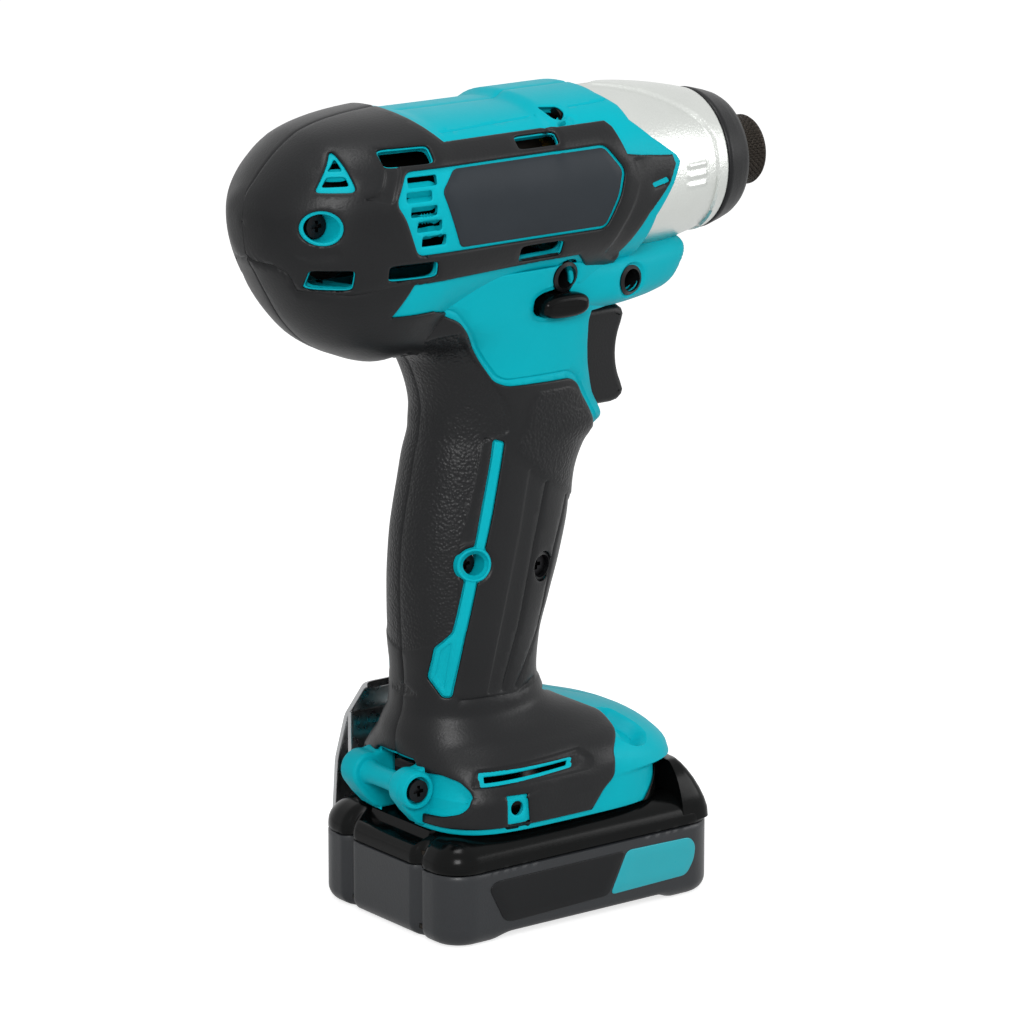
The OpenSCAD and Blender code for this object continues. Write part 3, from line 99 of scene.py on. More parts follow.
def new_material(name):
    """An empty node material, its output node and the Object coordinates that its patterns use."""
    material = bpy.data.materials.new(name)
    material.use_nodes = True
    material.node_tree.nodes.clear()
    out = add(material.node_tree, "OutputMaterial")
    place = add(material.node_tree, "TexCoord").outputs["Object"]
    return material, material.node_tree, out, place


# %% [markdown]
# The floor is white paper and the background is white. To the camera and in reflections both are
# brighter than the light they give, so that they stay white while the tool keeps its shading. Three
# soft boxes stand above the camera, to its right and overhead.

# %% Floor, world and lamps
floor_material, tree, out, place = new_material("white_studio_paper")
paper = add(tree, "BsdfDiffuse", {"Color": linear("#D2D2D2")})
fibre = add(tree, "TexNoise", {"Vector": place, "Scale": 400.0})
tree.links.new(add(tree, "Bump", {"Height": fibre.outputs["Fac"], "Distance": 0.00002}).outputs[0],
               paper.inputs["Normal"])
ray = add(tree, "LightPath")
seen = add(tree, "Math", {0: ray.outputs["Is Camera Ray"], 1: ray.outputs["Is Glossy Ray"]},
           operation="MAXIMUM")
near = add(tree, "Math", {0: ray.outputs["Is Camera Ray"], 1: 0.4}, operation="MULTIPLY")
glow = add(tree, "Math", {0: seen.outputs[0], 1: 0.35, 2: near.outputs[0]}, operation="MULTIPLY_ADD")
lift = add(tree, "Emission", {"Color": (1, 1, 1, 1), "Strength": glow.outputs[0]})
both = add(tree, "AddShader", {0: paper.outputs[0], 1: lift.outputs[0]})
tree.links.new(both.outputs[0], out.inputs["Surface"])
floor_mesh = bpy.data.meshes.new("studio_floor")
floor_mesh.from_pydata([(-30, -30, -0.0003), (30, -30, -0.0003), (30, 30, -0.0003), (-30, 30, -0.0003)],
                       [], [(0, 1, 2, 3)])
floor_mesh.materials.append(floor_material)
floor = bpy.data.objects.new("studio_floor", floor_mesh)
bpy.context.scene.collection.objects.link(floor)

world = bpy.data.worlds.new("studio")
bpy.context.scene.world = world
world.use_nodes = True
tree = world.node_tree
tree.nodes.clear()
ray = add(tree, "LightPath")
seen = add(tree, "Math", {0: ray.outputs["Is Camera Ray"], 1: ray.outputs["Is Transmission Ray"]},
           operation="MAXIMUM")
seen = add(tree, "Math", {0: seen.outputs[0], 1: ray.outputs["Is Glossy Ray"]}, operation="MAXIMUM")
level = add(tree, "MapRange", {"Value": seen.outputs[0], "To Min": 0.40, "To Max": 1.0})
sky = add(tree, "Background", {"Color": (1, 1, 1, 1), "Strength": level.outputs[0]})
tree.links.new(sky.outputs[0], add(tree, "OutputWorld").inputs["Surface"])


def lamp(name, spot, aim, size, watts):
    """A square soft box at a spot, turned to what it lights, all in metres."""
    data = bpy.data.lights.new(name, "AREA")
    data.shape = "SQUARE"
    data.size = size
    data.energy = watts
    box = bpy.data.objects.new(name, data)
    bpy.context.scene.collection.objects.link(box)
    box.location = spot
    box.rotation_euler = (Vector(aim) - Vector(spot)).to_track_quat("-Z", "Y").to_euler()
    return box


lamp("key", (-0.8, -1.0, 0.75), (0, 0, 0.1), 0.45, 9.5)
lamp("fill", (1.0, -0.8, 0.45), (0, 0, 0.1), 0.6, 4.0)
lamp("overhead", (-0.15, -0.15, 1.2), (0, 0, 0.1), 0.35, 3.4)

# %% [markdown]
# Moulded plastics differ mostly in grain and gloss. One function makes them all: a fine grain as
# bump and a little change in roughness, and a slow mottle in colour, as handled mouldings have.
# Where a piece carries a grain attribute, a leather grain is blended in by that attribute. The real
# grain is about a tenth of a millimetre, too fine to show, so it is drawn as coarse as it needs.

# %% Moulded plastics
MOTTLE_MM, LEATHER_MM, LEATHER_DEPTH_MM = 14.0, 0.7, 0.22


def moulded(name, card, rough, grain_mm, depth_mm, mottle=0.06, leather=False, **sockets):
    """A moulding: fine noise of grain_mm as bump of depth_mm and in the roughness, and slow noise in
    the colour."""
    material, tree, out, place = new_material(name)
    base = linear(card)
    slow = add(tree, "TexNoise", {"Vector": place, "Scale": 1 / (MOTTLE_MM * MM), "Detail": 3.0})
    dark = [c * (1 - mottle) for c in base[:3]] + [1.0]
    pale = [c * (1 + mottle) + 0.002 for c in base[:3]] + [1.0]
    colour = add(tree, "Mix", {"Factor": slow.outputs["Fac"], 6: dark, 7: pale}, data_type="RGBA")
    fine = add(tree, "TexNoise", {"Vector": place, "Scale": 1 / (grain_mm * MM), "Detail": 2.0})
    gloss = add(tree, "MapRange",
                {"Value": fine.outputs["Fac"], "To Min": rough - 0.05, "To Max": rough + 0.06})
    bump = add(tree, "Bump", {"Height": fine.outputs["Fac"], "Distance": depth_mm * MM})
    if leather:
        where = add(tree, "Attribute", attribute_name="grain")
        cells = add(tree, "TexVoronoi", {"Vector": place, "Scale": 1 / (LEATHER_MM * MM)},
                    feature="SMOOTH_F1")
        deep = add(tree, "Math", {0: cells.outputs["Distance"], 1: where.outputs["Fac"]},
                   operation="MULTIPLY")
        hollows = {"Height": deep.outputs[0], "Distance": LEATHER_DEPTH_MM * MM, "Normal": bump.outputs[0]}
        bump = add(tree, "Bump", hollows, invert=True)
    shader = add(tree, "BsdfPrincipled", {"Base Color": colour.outputs[2], "Roughness": gloss.outputs[0],
                                          "Normal": bump.outputs[0], **sockets})
    tree.links.new(shader.outputs[0], out.inputs["Surface"])
    return material


# Glass-filled nylon, spark-eroded mould: an even, fine, half-matt face in strong blue-green.
teal_nylon = moulded("teal_filled_nylon", "#00B0BF", 0.42, 0.7, 0.03, 0.05, **{"Specular IOR Level": 0.08})
# Soft thermoplastic elastomer: nearly black, matt, with a leather grain where the hand holds it.
elastomer = moulded("black_soft_elastomer", "#0D0E10", 0.38, 0.6, 0.045, 0.10, leather=True,
                    **{"Specular IOR Level": 0.26})
# Satin black moulding of the battery's lower shell: a shade paler and greyer than the elastomer.
satin_abs = moulded("satin_black_abs", "#26282B", 0.34, 0.6, 0.03, 0.08, **{"Specular IOR Level": 0.35})
# High-gloss black polycarbonate blend: dark, with clear reflections of the lamps.
gloss_abs = moulded("gloss_black_abs", "#030404", 0.18, 1.2, 0.006, 0.08, **{"Specular IOR Level": 0.12})
# Printed polycarbonate film of the bare name plate: dark grey, faintly silky.
plate_film = moulded("dark_label_film", "#2A2F34", 0.40, 0.5, 0.008, 0.10, **{"Specular IOR Level": 0.15})
# Printed film of the battery's flank panel: black, smooth and half glossy.
panel_film = moulded("black_label_film", "#0E0F11", 0.30, 0.8, 0.004, 0.06, **{"Specular IOR Level": 0.2})
# Teal film patch on the battery, smooth and a little glossy.
teal_film = moulded("teal_label_film", "#08A3B0", 0.30, 0.8, 0.006, 0.05)
# Green solder-masked circuit board, smooth with a weave showing through.
board_green = moulded("solder_mask_board", "#1C4F33", 0.40, 0.5, 0.01, 0.12)
# Shrink sleeve of the battery cells: thin glossy blue film.
cell_sleeve = moulded("cell_shrink_sleeve", "#2F5E9E", 0.30, 1.0, 0.01, 0.08)
# Clear acrylic lamp lens.
clear_lens = moulded("clear_acrylic_lens", "#F4F6F7", 0.08, 1.0, 0.004, 0.01,
                     **{"Transmission Weight": 0.85, "IOR": 1.49})

# %% [markdown]
# The metals share a second function. A casting gets speckle from its blasted skin, a turned or
# ground piece gets lines around its axis, and a blackened one a broken sheen. The speckle and the
# lines are drawn coarser than the real ones too, so that they show.

# %% Metals
METAL_MOTTLE_MM = 9.0


def metal(name, card, rough, grain_mm, depth_mm, mottle=0.10, lines_mm=0.0, **sockets):
    """A metal: speckle of grain_mm as bump and roughness, or lines across X where lines_mm is given."""
    material, tree, out, place = new_material(name)
    base = linear(card)
    fine = add(tree, "TexNoise", {"Vector": place, "Scale": 1 / (grain_mm * MM), "Detail": 3.0})
    slow = add(tree, "TexNoise", {"Vector": place, "Scale": 1 / (METAL_MOTTLE_MM * MM), "Detail": 2.0})
    height = fine.outputs["Fac"]
    if lines_mm:
        long_way = add(tree, "Mapping", {"Vector": place, "Scale": (1 / (lines_mm * MM), 40.0, 40.0)})
        drawn = add(tree, "TexNoise", {"Vector": long_way.outputs[0], "Scale": 1.0, "Detail": 2.0})
        height = drawn.outputs["Fac"]
    dark = [c * (1 - mottle) for c in base[:3]] + [1.0]
    colour = add(tree, "Mix", {"Factor": slow.outputs["Fac"], 6: dark, 7: base}, data_type="RGBA")
    gloss = add(tree, "MapRange",
                {"Value": height, "To Min": max(rough - 0.08, 0.03), "To Max": rough + 0.10})
    bump = add(tree, "Bump", {"Height": height, "Distance": depth_mm * MM})
    shader = add(tree, "BsdfPrincipled", {"Base Color": colour.outputs[2], "Roughness": gloss.outputs[0],
                                          "Normal": bump.outputs[0], "Metallic": 1.0, **sockets})
    tree.links.new(shader.outputs[0], out.inputs["Surface"])
    return material


# Die-cast aluminium, tumbled and lacquered: pale silver with a fine sparkle.
cast_aluminium = metal("tumbled_cast_aluminium", "#D6D9D5", 0.34, 0.6, 0.09, 0.08)
# Bright nickel-plated spring steel of the belt hook.
bright_steel = metal("bright_nickel_steel", "#B4B5B6", 0.28, 2.0, 0.01, 0.06)
# Ground and hardened shaft steel, with turning marks.
ground_steel = metal("ground_shaft_steel", "#B9BABB", 0.26, 0.8, 0.01, 0.10, lines_mm=0.35)
# Phosphated steel of the sleeve, hammer and anvil: warm dark brown-grey.
phosphate_steel = metal("phosphated_steel", "#332F2B", 0.42, 0.5, 0.03, 0.22)
# Black-oxide screws and the motor's can.
black_oxide = metal("black_oxide_steel", "#2C2C2E", 0.38, 0.6, 0.02, 0.20)
# Spring wire, drawn and lightly oiled.
spring_wire = metal("drawn_spring_wire", "#A7A8AA", 0.25, 0.7, 0.01, 0.12)
# Sintered bronze and brass of bushes and contacts.
brass_metal = metal("contact_brass", "#C9A24B", 0.30, 0.6, 0.02, 0.15)
# Enamelled copper winding.
copper_wire = metal("enamelled_copper", "#B06A38", 0.34, 0.5, 0.04, 0.20)
# Ferrite magnet and carbon brush: matt, dark, granular. They are ceramics, so they aren't metallic.
ferrite = moulded("sintered_ferrite", "#3A3B3D", 0.60, 0.4, 0.04, 0.15)
carbon_block = moulded("pressed_carbon", "#1D1D1E", 0.55, 0.4, 0.04, 0.15)

SLOT_FINISH = {
    "teal_plastic": teal_nylon, "elastomer": elastomer, "plate_film": plate_film,
    "cast_aluminium": cast_aluminium, "black_steel": black_oxide, "spring_steel": spring_wire,
    "bright_steel": ground_steel, "dark_steel": phosphate_steel, "gloss_black": gloss_abs,
    "satin_black": satin_abs, "battery_film": panel_film, "lens": clear_lens, "board": board_green,
    "brass": brass_metal, "copper": copper_wire, "magnet": ferrite, "carbon": carbon_block,
    "cell_wrap": cell_sleeve}
print(len(SLOT_FINISH), "finishes")

# %% [markdown]
# Every solid that stays in view gets the finish of its slot in the record. Only the material slots
# are set, because the solid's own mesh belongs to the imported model.

# %% Finishes on the solids
for row in frame["record"]["subparts"]:
    solid = frame["nodes"][row["node"]]
    solid.data.materials.clear()
    solid.data.materials.append(SLOT_FINISH[row["material_slot"]])

# %% [markdown]
# The housing is a loft: a row of rounded sections from the motor's rear dome to the nose, and a
# second row from the foot up through the grip. Each section is a superellipse, which is a circle that
# leans towards a rectangle. The rows here are the same sizes as in the solids, with a smooth curve
# through them, so the flat facets of the solids disappear. Only the grip's top rows reach further back,
# which rounds the corner under the motor.

# %% Sections of the barrel and the handle, in millimetres
AXIS_Z = 182.0
BARREL_REAR, BARREL_L = -82.0, 115.0
barrel_rows = np.array([
    [0, 0, 0, 0, 2.1], [0.004, 0.17, 0.165, 0.145, 2.1], [0.009, 0.27, 0.26, 0.22, 2.1],
    [0.028, 0.43, 0.385, 0.325, 2.1], [0.055, 0.59, 0.535, 0.475, 2.1], [0.092, 0.735, 0.695, 0.655, 2.1],
    [0.142, 0.855, 0.84, 0.805, 2.2], [0.211, 0.94, 0.925, 0.92, 2.3], [0.281, 0.98, 0.965, 0.98, 2.4],
    [0.34, 0.995, 0.98, 0.92, 2.45], [0.392, 1, 0.935, 0.80, 2.5], [0.635, 1, 0.93, 0.62, 2.5],
    [0.66, 1, 1, 0.62, 2.5], [0.80, 1, 1, 0.60, 2.5], [0.905, 0.965, 1, 0.585, 2.4],
    [1, 0.92, 0.97, 0.565, 2.3]]) * [1, 26.4, 23.2, 37.5, 1]
FOOT_Z, HANDLE_H = 26.9, 155.1
foot_rows = np.array([
    [0, -0.155, 1, 1, 4], [0.052, -0.155, 1, 0.995, 3.8], [0.060, -0.064, 1.091, 0.99, 3.6],
    [0.074, -0.064, 1.091, 0.985, 3.3], [0.097, -0.099, 1.055, 0.94, 2.9], [0.1165, -0.156, 0.995, 0.85, 2.6],
    [0.132, -0.237, 0.914, 0.745, 2.45], [0.151, -0.366, 0.767, 0.65, 2.4]]) * [1, 33.7, 33.7, 27.6, 1]
grip_rows = np.array([
    [0.1785, -0.705, 0.795, 0.985, 2.3], [0.226, -0.756, 0.725, 0.97, 2.3], [0.278, -0.752, 0.755, 0.98, 2.3],
    [0.342, -0.699, 0.830, 1, 2.3], [0.407, -0.627, 0.902, 1, 2.3], [0.471, -0.557, 0.935, 1, 2.3],
    [0.536, -0.49, 0.92, 0.99, 2.3], [0.587, -0.385, 0.96, 0.99, 2.3], [0.628, -0.193, 1.094, 1, 2.3],
    [0.665, -0.254, 1.012, 1.02, 2.3], [0.742, -0.281, 1.129, 1.1, 2.4], [0.772, -0.33, 1.25, 1.15, 2.45],
    [0.79, -0.45, 1.43, 1.18, 2.45], [0.81, -0.62, 1.64, 1.22, 2.5], [0.890, -0.72, 1.87, 1.38, 2.5]])
grip_rows = grip_rows * [1, 24.4, 24.4, 15.8, 1]
handle_rows = np.vstack([foot_rows, grip_rows]) * [HANDLE_H, 1, 1, 1, 1] + [FOOT_Z, 0, 0, 0, 0]
print(len(barrel_rows), "sections of the barrel,", len(handle_rows), "of the handle")


def smooth_rows(knots, rows, at):
    """Cubic curve through the rows that never overshoots: each knot's slope is the harmonic mean of
    its neighbours' slopes, or zero where these differ in sign."""
    step = np.diff(knots)[:, None]
    slope = np.diff(rows, axis=0) / step
    before, after = slope[:-1], slope[1:]
    same = before * after > 0
    mean = 2 * before * after / np.where(same, before + after, 1)
    tangent = np.vstack([slope[:1], np.where(same, mean, 0), slope[-1:]])
    k = np.clip(np.searchsorted(knots, at, side="right") - 1, 0, len(knots) - 2)
    h = step[k, 0][..., None]
    t = (at - knots[k])[..., None] / h
    return ((1 + 2 * t) * (1 - t) ** 2 * rows[k] + t * (1 - t) ** 2 * h * tangent[k]
            + t ** 2 * (3 - 2 * t) * rows[k + 1] + t ** 2 * (t - 1) * h * tangent[k + 1])


def power(v, p):
    """Signed power of a sine or cosine, which bends a circle towards a rectangle."""
    return np.sign(v) * np.abs(v) ** p


# %% [markdown]
# Trimmed skins need flat maps. On the barrel the map's first measure runs along the side from the
# rear pole, and the second is the angle round the axis times 25 mm. On the handle the first runs up
# the side, and the second is the angle from the front round the right side to the back times 22 mm. A
# drawing in X and Z, as the side view shows it, is carried onto a map by the section's inverse.

# %% Maps of the barrel and the handle
PROUD = 0.8
ROUND, TURN = 25.0, 22.0
reach = np.linspace(0, 1.02, 600)
heights = np.linspace(FOOT_Z - 1, FOOT_Z + 0.89 * HANDLE_H, 600)


def barrel_section(u):
    """Half width, rise, drop and exponent of the barrel, where u is the root of the length's share."""
    return smooth_rows(np.sqrt(barrel_rows[:, 0]), barrel_rows[:, 1:], u).T


def handle_section(z):
    """Middle, half depth, half width and exponent of the handle at a height."""
    return smooth_rows(handle_rows[:, 0], handle_rows[:, 1:], z).T


def run_along(first, second):
    """Length of a line from its start to each of its points."""
    return np.concatenate([[0], np.cumsum(np.hypot(np.diff(first), np.diff(second)))])


barrel_run = run_along(reach ** 2 * BARREL_L, barrel_section(reach)[0])
handle_run = run_along(heights, handle_section(heights)[2])


def barrel_point(m):
    """Barrel point of a map place: X from the run, and Y and Z from the superellipse at that angle."""
    u = np.interp(m[:, 0], barrel_run, reach)
    w, up, down, n = barrel_section(u)
    a = m[:, 1] / ROUND
    side, rise = power(np.cos(a), 2 / n), power(np.sin(a), 2 / n)
    z = AXIS_Z + np.where(rise > 0, up, down) * rise
    return np.stack([u ** 2 * BARREL_L + BARREL_REAR, -w * side, z], 1)


def barrel_map(xz):
    """Map places of X and Z in side view: the sine of the angle is the height's share to the power n/2."""
    xz = np.asarray(xz, float)
    u = np.sqrt(np.clip((xz[:, 0] - BARREL_REAR) / BARREL_L, 0, 1.03))
    _, up, down, n = barrel_section(u)
    rise = xz[:, 1] - AXIS_Z
    share = np.clip(np.abs(rise) / (np.where(rise > 0, up, down) + PROUD), 0, 1)
    angle = np.sign(rise) * np.arcsin(share ** (n / 2))
    return np.stack([np.interp(u, reach, barrel_run), angle * ROUND], 1)


def handle_point(m):
    """Handle point of a map place: Z from the run, and X and Y from the superellipse at that angle."""
    z = np.interp(m[:, 0], handle_run, heights)
    mid, deep, half, n = handle_section(z)
    a = m[:, 1] / TURN
    return np.stack([mid + deep * power(np.cos(a), 2 / n), -half * power(np.sin(a), 2 / n), z], 1)


def handle_map(xz):
    """Map places of X and Z in side view: the cosine of the angle is the depth's share to the power n/2."""
    xz = np.asarray(xz, float)
    mid, deep, _, n = handle_section(xz[:, 1])
    share = np.clip((xz[:, 0] - mid) / (deep + PROUD), -1, 1)
    return np.stack([np.interp(xz[:, 1], heights, handle_run), np.arccos(power(share, n / 2)) * TURN], 1)


def back_map(yz):
    """Map places of Y and Z on the back of the foot: the sine of the angle is the width's share."""
    yz = np.asarray(yz, float)
    _, _, half, n = handle_section(yz[:, 1])
    share = np.clip(yz[:, 0] / half, 0, 1)
    angle = np.pi - np.arcsin(share ** (n / 2))
    return np.stack([np.interp(yz[:, 1], heights, handle_run), angle * TURN], 1)


def facing(point, m, step=0.05):
    """Unit normals of a mapped surface, from points a small step to either side along both measures."""
    along, across = np.array([step, 0]), np.array([0, step])
    m = np.maximum(m, [0.4, -1e9])
    normal = np.cross(point(m + along) - point(m - along), point(m + across) - point(m - across))
    return normal / np.maximum(np.linalg.norm(normal, axis=1), 1e-12)[:, None]


print("barrel side", round(barrel_run[-1], 1), "mm, handle side", round(handle_run[-1], 1), "mm")

# %% [markdown]
# A skin is one trimmed piece of a mapped surface, such as the soft side band with its windows. Its
# outline, its windows and a net of inner points are drawn on the map, joined into triangles there,
# and then lifted onto the surface. Near an edge the lift follows a quarter circle, which gives the
# rounded lip of a moulded part. A subdivision cage could do it too, but windows are easier on a map.

# %% Drawing on a map
def dense(path, step, closed=False):
    """Points along a line of straight pieces, its corners kept, the others about one step apart."""
    path = np.asarray(path, float)
    if closed:
        path = np.vstack([path, path[:1]])
    far = np.concatenate([[0], np.cumsum(np.hypot(*np.diff(path, axis=0).T))])
    even = np.arange(step, far[-1], step)
    near = np.abs(even[:, None] - far[None, :]).min(1)
    at = np.sort(np.concatenate([far, even[near > 0.4 * step]]))
    at = at[:-1] if closed else at
    return np.stack([np.interp(at, far, path[:, 0]), np.interp(at, far, path[:, 1])], 1)


def soft(path, radius, closed=True):
    """A line with its corners rounded: each becomes a parabola between points a radius before and after
    it, or less than half a side where the side is short."""
    path = np.asarray(path, float)
    before, after = np.roll(path, 1, axis=0) - path, np.roll(path, -1, axis=0) - path
    reach_in = []
    for way in (before, after):
        share = np.minimum(radius / np.maximum(np.hypot(*way.T), 1e-9), 0.45)
        reach_in.append(way * share[:, None])
    t = np.linspace(0, 1, 6)[None, :, None]
    curve = path[:, None] + (1 - t) ** 2 * reach_in[0][:, None] + t ** 2 * reach_in[1][:, None]
    if closed:
        return curve.reshape(-1, 2)
    return np.vstack([path[:1], curve[1:-1].reshape(-1, 2), path[-1:]])


def ends(loop):
    """Both ends of every straight piece of a closed loop."""
    return np.stack([loop, np.roll(loop, -1, axis=0)], 1)


def inside(m, loop):
    """True where a place is inside a closed loop: a line to its right crosses the loop an odd number of
    times."""
    (ax, ay), (bx, by) = loop.T, np.roll(loop, -1, axis=0).T
    x, y = m[:, 0, None], m[:, 1, None]
    crossing = (ay > y) != (by > y)
    slope = (bx - ax) / np.where(by == ay, 1, by - ay)
    return (crossing & (x < ax + (y - ay) * slope)).sum(1) % 2 == 1


def gap_to(m, pieces):
    """Distance from each place to the nearest straight piece, from the foot of the perpendicular."""
    if len(pieces) == 0:
        return np.full(len(m), 1e6)
    start, way = pieces[:, 0], pieces[:, 1] - pieces[:, 0]
    square = np.maximum((way ** 2).sum(1), 1e-12)
    nearest = []
    for part in np.array_split(m, max(1, len(m) * len(pieces) // 2_000_000)):
        off = part[:, None] - start
        t = np.clip((off * way).sum(2) / square, 0, 1)
        nearest.append(np.sqrt((((off - t[..., None] * way) ** 2).sum(2)).min(1)))
    return np.concatenate(nearest)


def beside(loop, distance, closed=True):
    """A line moved sideways by a distance, each point along the normal of its neighbours."""
    before, after = np.roll(loop, 1, axis=0), np.roll(loop, -1, axis=0)
    if not closed:
        before[0], after[-1] = loop[0], loop[-1]
    way = after - before
    normal = np.stack([-way[:, 1], way[:, 0]], 1) / np.maximum(np.hypot(*way.T), 1e-9)[:, None]
    return loop + distance * normal


def rise_in(t):
    """Smooth step from 0 to 1."""
    t = np.clip(t, 0, 1)
    return t * t * (3 - 2 * t)


# %% [markdown]
# The skin function collects the points: outline and windows, lines just inside them for the rounded
# lip, lines round each raised or sunk zone and along each groove, and a staggered net between. A
# zone is a patch that stands higher or lower, a groove is a fine channel. Blender's own constrained
# triangulation joins the points, and triangles outside the outline or in a window are dropped.

# %% Skins
SEAM_WIDTH, SEAM_DEPTH = 0.25, 0.22


def skin(point, outline, windows=(), lift=PROUD, lip=0.6, zones=(), grooves=(), pitch=1.7, seams=(),
         swell=None, levels=()):
    """Points, triangles and grain of a skin on the right side. Its height over the surface is lift, less
    the lip's quarter circle near an edge, plus each zone's height inside its loop, less each groove's
    bell-shaped depth, plus what the swell function gives for a place. A zone is a loop, a height, a ramp
    and a share of grain, a groove is a line, a width and a depth, and a seam is a measure of the map and
    its value on the middle plane. Levels are values of the first measure that get a row of points each,
    for a crisp edge across the skin."""
    loops = [dense(loop, 0.9, True) for loop in (outline, *windows)]
    pieces = np.concatenate([ends(loop) for loop in loops])
    on_seam = np.zeros(len(pieces), bool)
    for axis, value in seams:
        on_seam |= (np.abs(pieces[:, :, axis] - value) < 1e-6).all(1)
    edge, seam = pieces[~on_seam], pieces[on_seam]
    zone_loops = [dense(zone[0], 0.8, True) for zone in zones]
    lines = [dense(groove[0], 0.8) for groove in grooves]
    extra = [beside(loop, side * lip * share) for loop in loops for side in (-1, 1)
             for share in (0.12, 0.4, 1.0)]
    extra += [beside(loop, side * zone[2]) for loop, zone in zip(zone_loops, zones)
              for side in (0, 0.5, 1, -0.5, -1)]
    extra += [beside(line, side * groove[1], False) for line, groove in zip(lines, grooves)
              for side in (0, 0.6, -0.6, 1.5, -1.5)]
    low, high = loops[0].min(0), loops[0].max(0)
    row = np.arange(low[1] + 0.3, high[1], 0.8)
    extra += [np.stack([np.full(len(row), level), row], 1) for level in levels]
    i, j = np.meshgrid(np.arange(low[0], high[0], pitch), np.arange(low[1], high[1], pitch * 0.87),
                       indexing="ij")
    i[:, 1::2] += pitch / 2
    net = np.stack([i.ravel(), j.ravel()], 1)

    def kept(m):
        """True for places in the skin: inside the outline and in no window."""
        held = inside(m, loops[0])
        for window in loops[1:]:
            held &= ~inside(m, window)
        return held

    fine = np.concatenate(extra)
    fine = fine[kept(fine)]
    fine = fine[gap_to(fine, pieces) > 0.1 * lip]
    net = net[kept(net)]
    net = net[gap_to(net, np.concatenate([pieces, np.stack([fine, fine], 1)])) > 0.55 * pitch]
    border = np.concatenate(loops)
    first = np.concatenate([[0], np.cumsum([len(loop) for loop in loops])])
    tie = [np.stack([np.arange(len(loop)), np.roll(np.arange(len(loop)), -1)], 1) + a
           for loop, a in zip(loops, first)]
    flat = np.concatenate([border, fine, net])
    places, _, faces, *_ = delaunay_2d_cdt(flat.tolist(), np.concatenate(tie).tolist(), [], 0, 1e-4)
    m = np.array([tuple(p) for p in places])
    faces = np.array([f for f in faces if len(f) == 3])
    faces = faces[kept(m[faces].mean(1))]
    used, faces = np.unique(faces, return_inverse=True)
    m, faces = m[used], faces.reshape(-1, 3)

    near = np.minimum(gap_to(m, edge), lip)
    height = lift - lip + np.sqrt(np.maximum(lip ** 2 - (lip - near) ** 2, 0))
    height -= SEAM_DEPTH * np.exp(-(gap_to(m, seam) / SEAM_WIDTH) ** 2)
    grain = np.zeros(len(m))
    for loop, (_, raised, ramp, grained) in zip(zone_loops, zones):
        signed = gap_to(m, ends(loop)) * np.where(inside(m, loop), 1, -1)
        share = rise_in(0.5 + signed / (2 * ramp))
        height += raised * share
        grain = np.maximum(grain, grained * share)
    for line, (_, width, depth) in zip(lines, grooves):
        height -= depth * np.exp(-(gap_to(m, np.stack([line[:-1], line[1:]], 1)) / width) ** 2)
    normal = facing(point, m)
    points = point(m)
    if swell:
        height += swell(points)
    outward = -np.sign(normal[:, 1].mean())
    points = points + outward * height[:, None] * normal
    a, b, c = (points[faces[:, k]] for k in range(3))
    flip = (np.cross(b - a, c - a) * normal[faces[:, 0]]).sum(1) * outward < 0
    faces[flip] = faces[flip][:, ::-1]
    points[:, 1] = np.minimum(points[:, 1], 0)
    _, first, same = np.unique(np.round(points, 3), axis=0, return_index=True, return_inverse=True)
    faces = same.ravel()[faces]
    whole = (faces != np.roll(faces, 1, axis=1)).all(1)
    return points[first], faces[whole], grain[first]


# %% [markdown]
# Every piece enters the scene through one function. It fills the mesh from whole arrays, shades it
# smooth with sharp edges above an angle, gives it its finish and lets it ride on its body. A wall
# thickness is left to the Solidify modifier, which also closes the cut edges.

# %% Put a piece into the scene
def put(name, points, faces, material, body, slot, stands_for=(), wall=0.0, sharp=38, grain=None):
    """A mesh object from points in millimetres and arrays of faces with 3, 4 or more corners each."""
    groups = faces if isinstance(faces, list) else [faces]
    corners = np.concatenate([group.ravel() for group in groups])
    sizes = np.concatenate([np.full(len(group), group.shape[1]) for group in groups])
    mesh = bpy.data.meshes.new(name)
    mesh.vertices.add(len(points))
    mesh.vertices.foreach_set("co", (np.asarray(points) * MM).ravel())
    mesh.loops.add(len(corners))
    mesh.loops.foreach_set("vertex_index", corners.astype(np.int32))
    mesh.polygons.add(len(sizes))
    mesh.polygons.foreach_set("loop_start", np.concatenate([[0], np.cumsum(sizes)[:-1]]).astype(np.int32))
    mesh.update(calc_edges=True)
    mesh.validate()
    mesh.polygons.foreach_set("use_smooth", np.ones(len(mesh.polygons), bool))
    mesh.set_sharp_from_angle(angle=np.radians(sharp))
    if grain is not None:
        mesh.attributes.new("grain", "FLOAT", "POINT").data.foreach_set("value", grain.astype(np.float32))
    mesh.materials.append(material)
    piece = bpy.data.objects.new(name, mesh)
    bpy.context.scene.collection.objects.link(piece)
    if wall:
        shell = piece.modifiers.new("wall", "SOLIDIFY")
        shell.thickness = wall * MM
        shell.offset = -1
    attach(piece, body)
    if stands_for:
        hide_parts(*stands_for)
    print(name, len(mesh.vertices), "points,", len(mesh.polygons), "faces")
    return piece


def both_sides(name, made, material, slot, node="", wall=1.4, body="housing", paired=True):
    """A skin on the right side, and its mirror image with turned faces on the left. A paired node is one
    solid for each side, any other node is one solid that holds both."""
    points, faces, grain = made
    for side, sign in (("right", 1), ("left", -1)):
        solid = f"{node}_{side}" if paired else node
        put(f"{name}_{side}", points * [1, sign, 1], faces[:, ::sign], material, body, slot,
            (solid,) if node else (), wall, grain=grain)


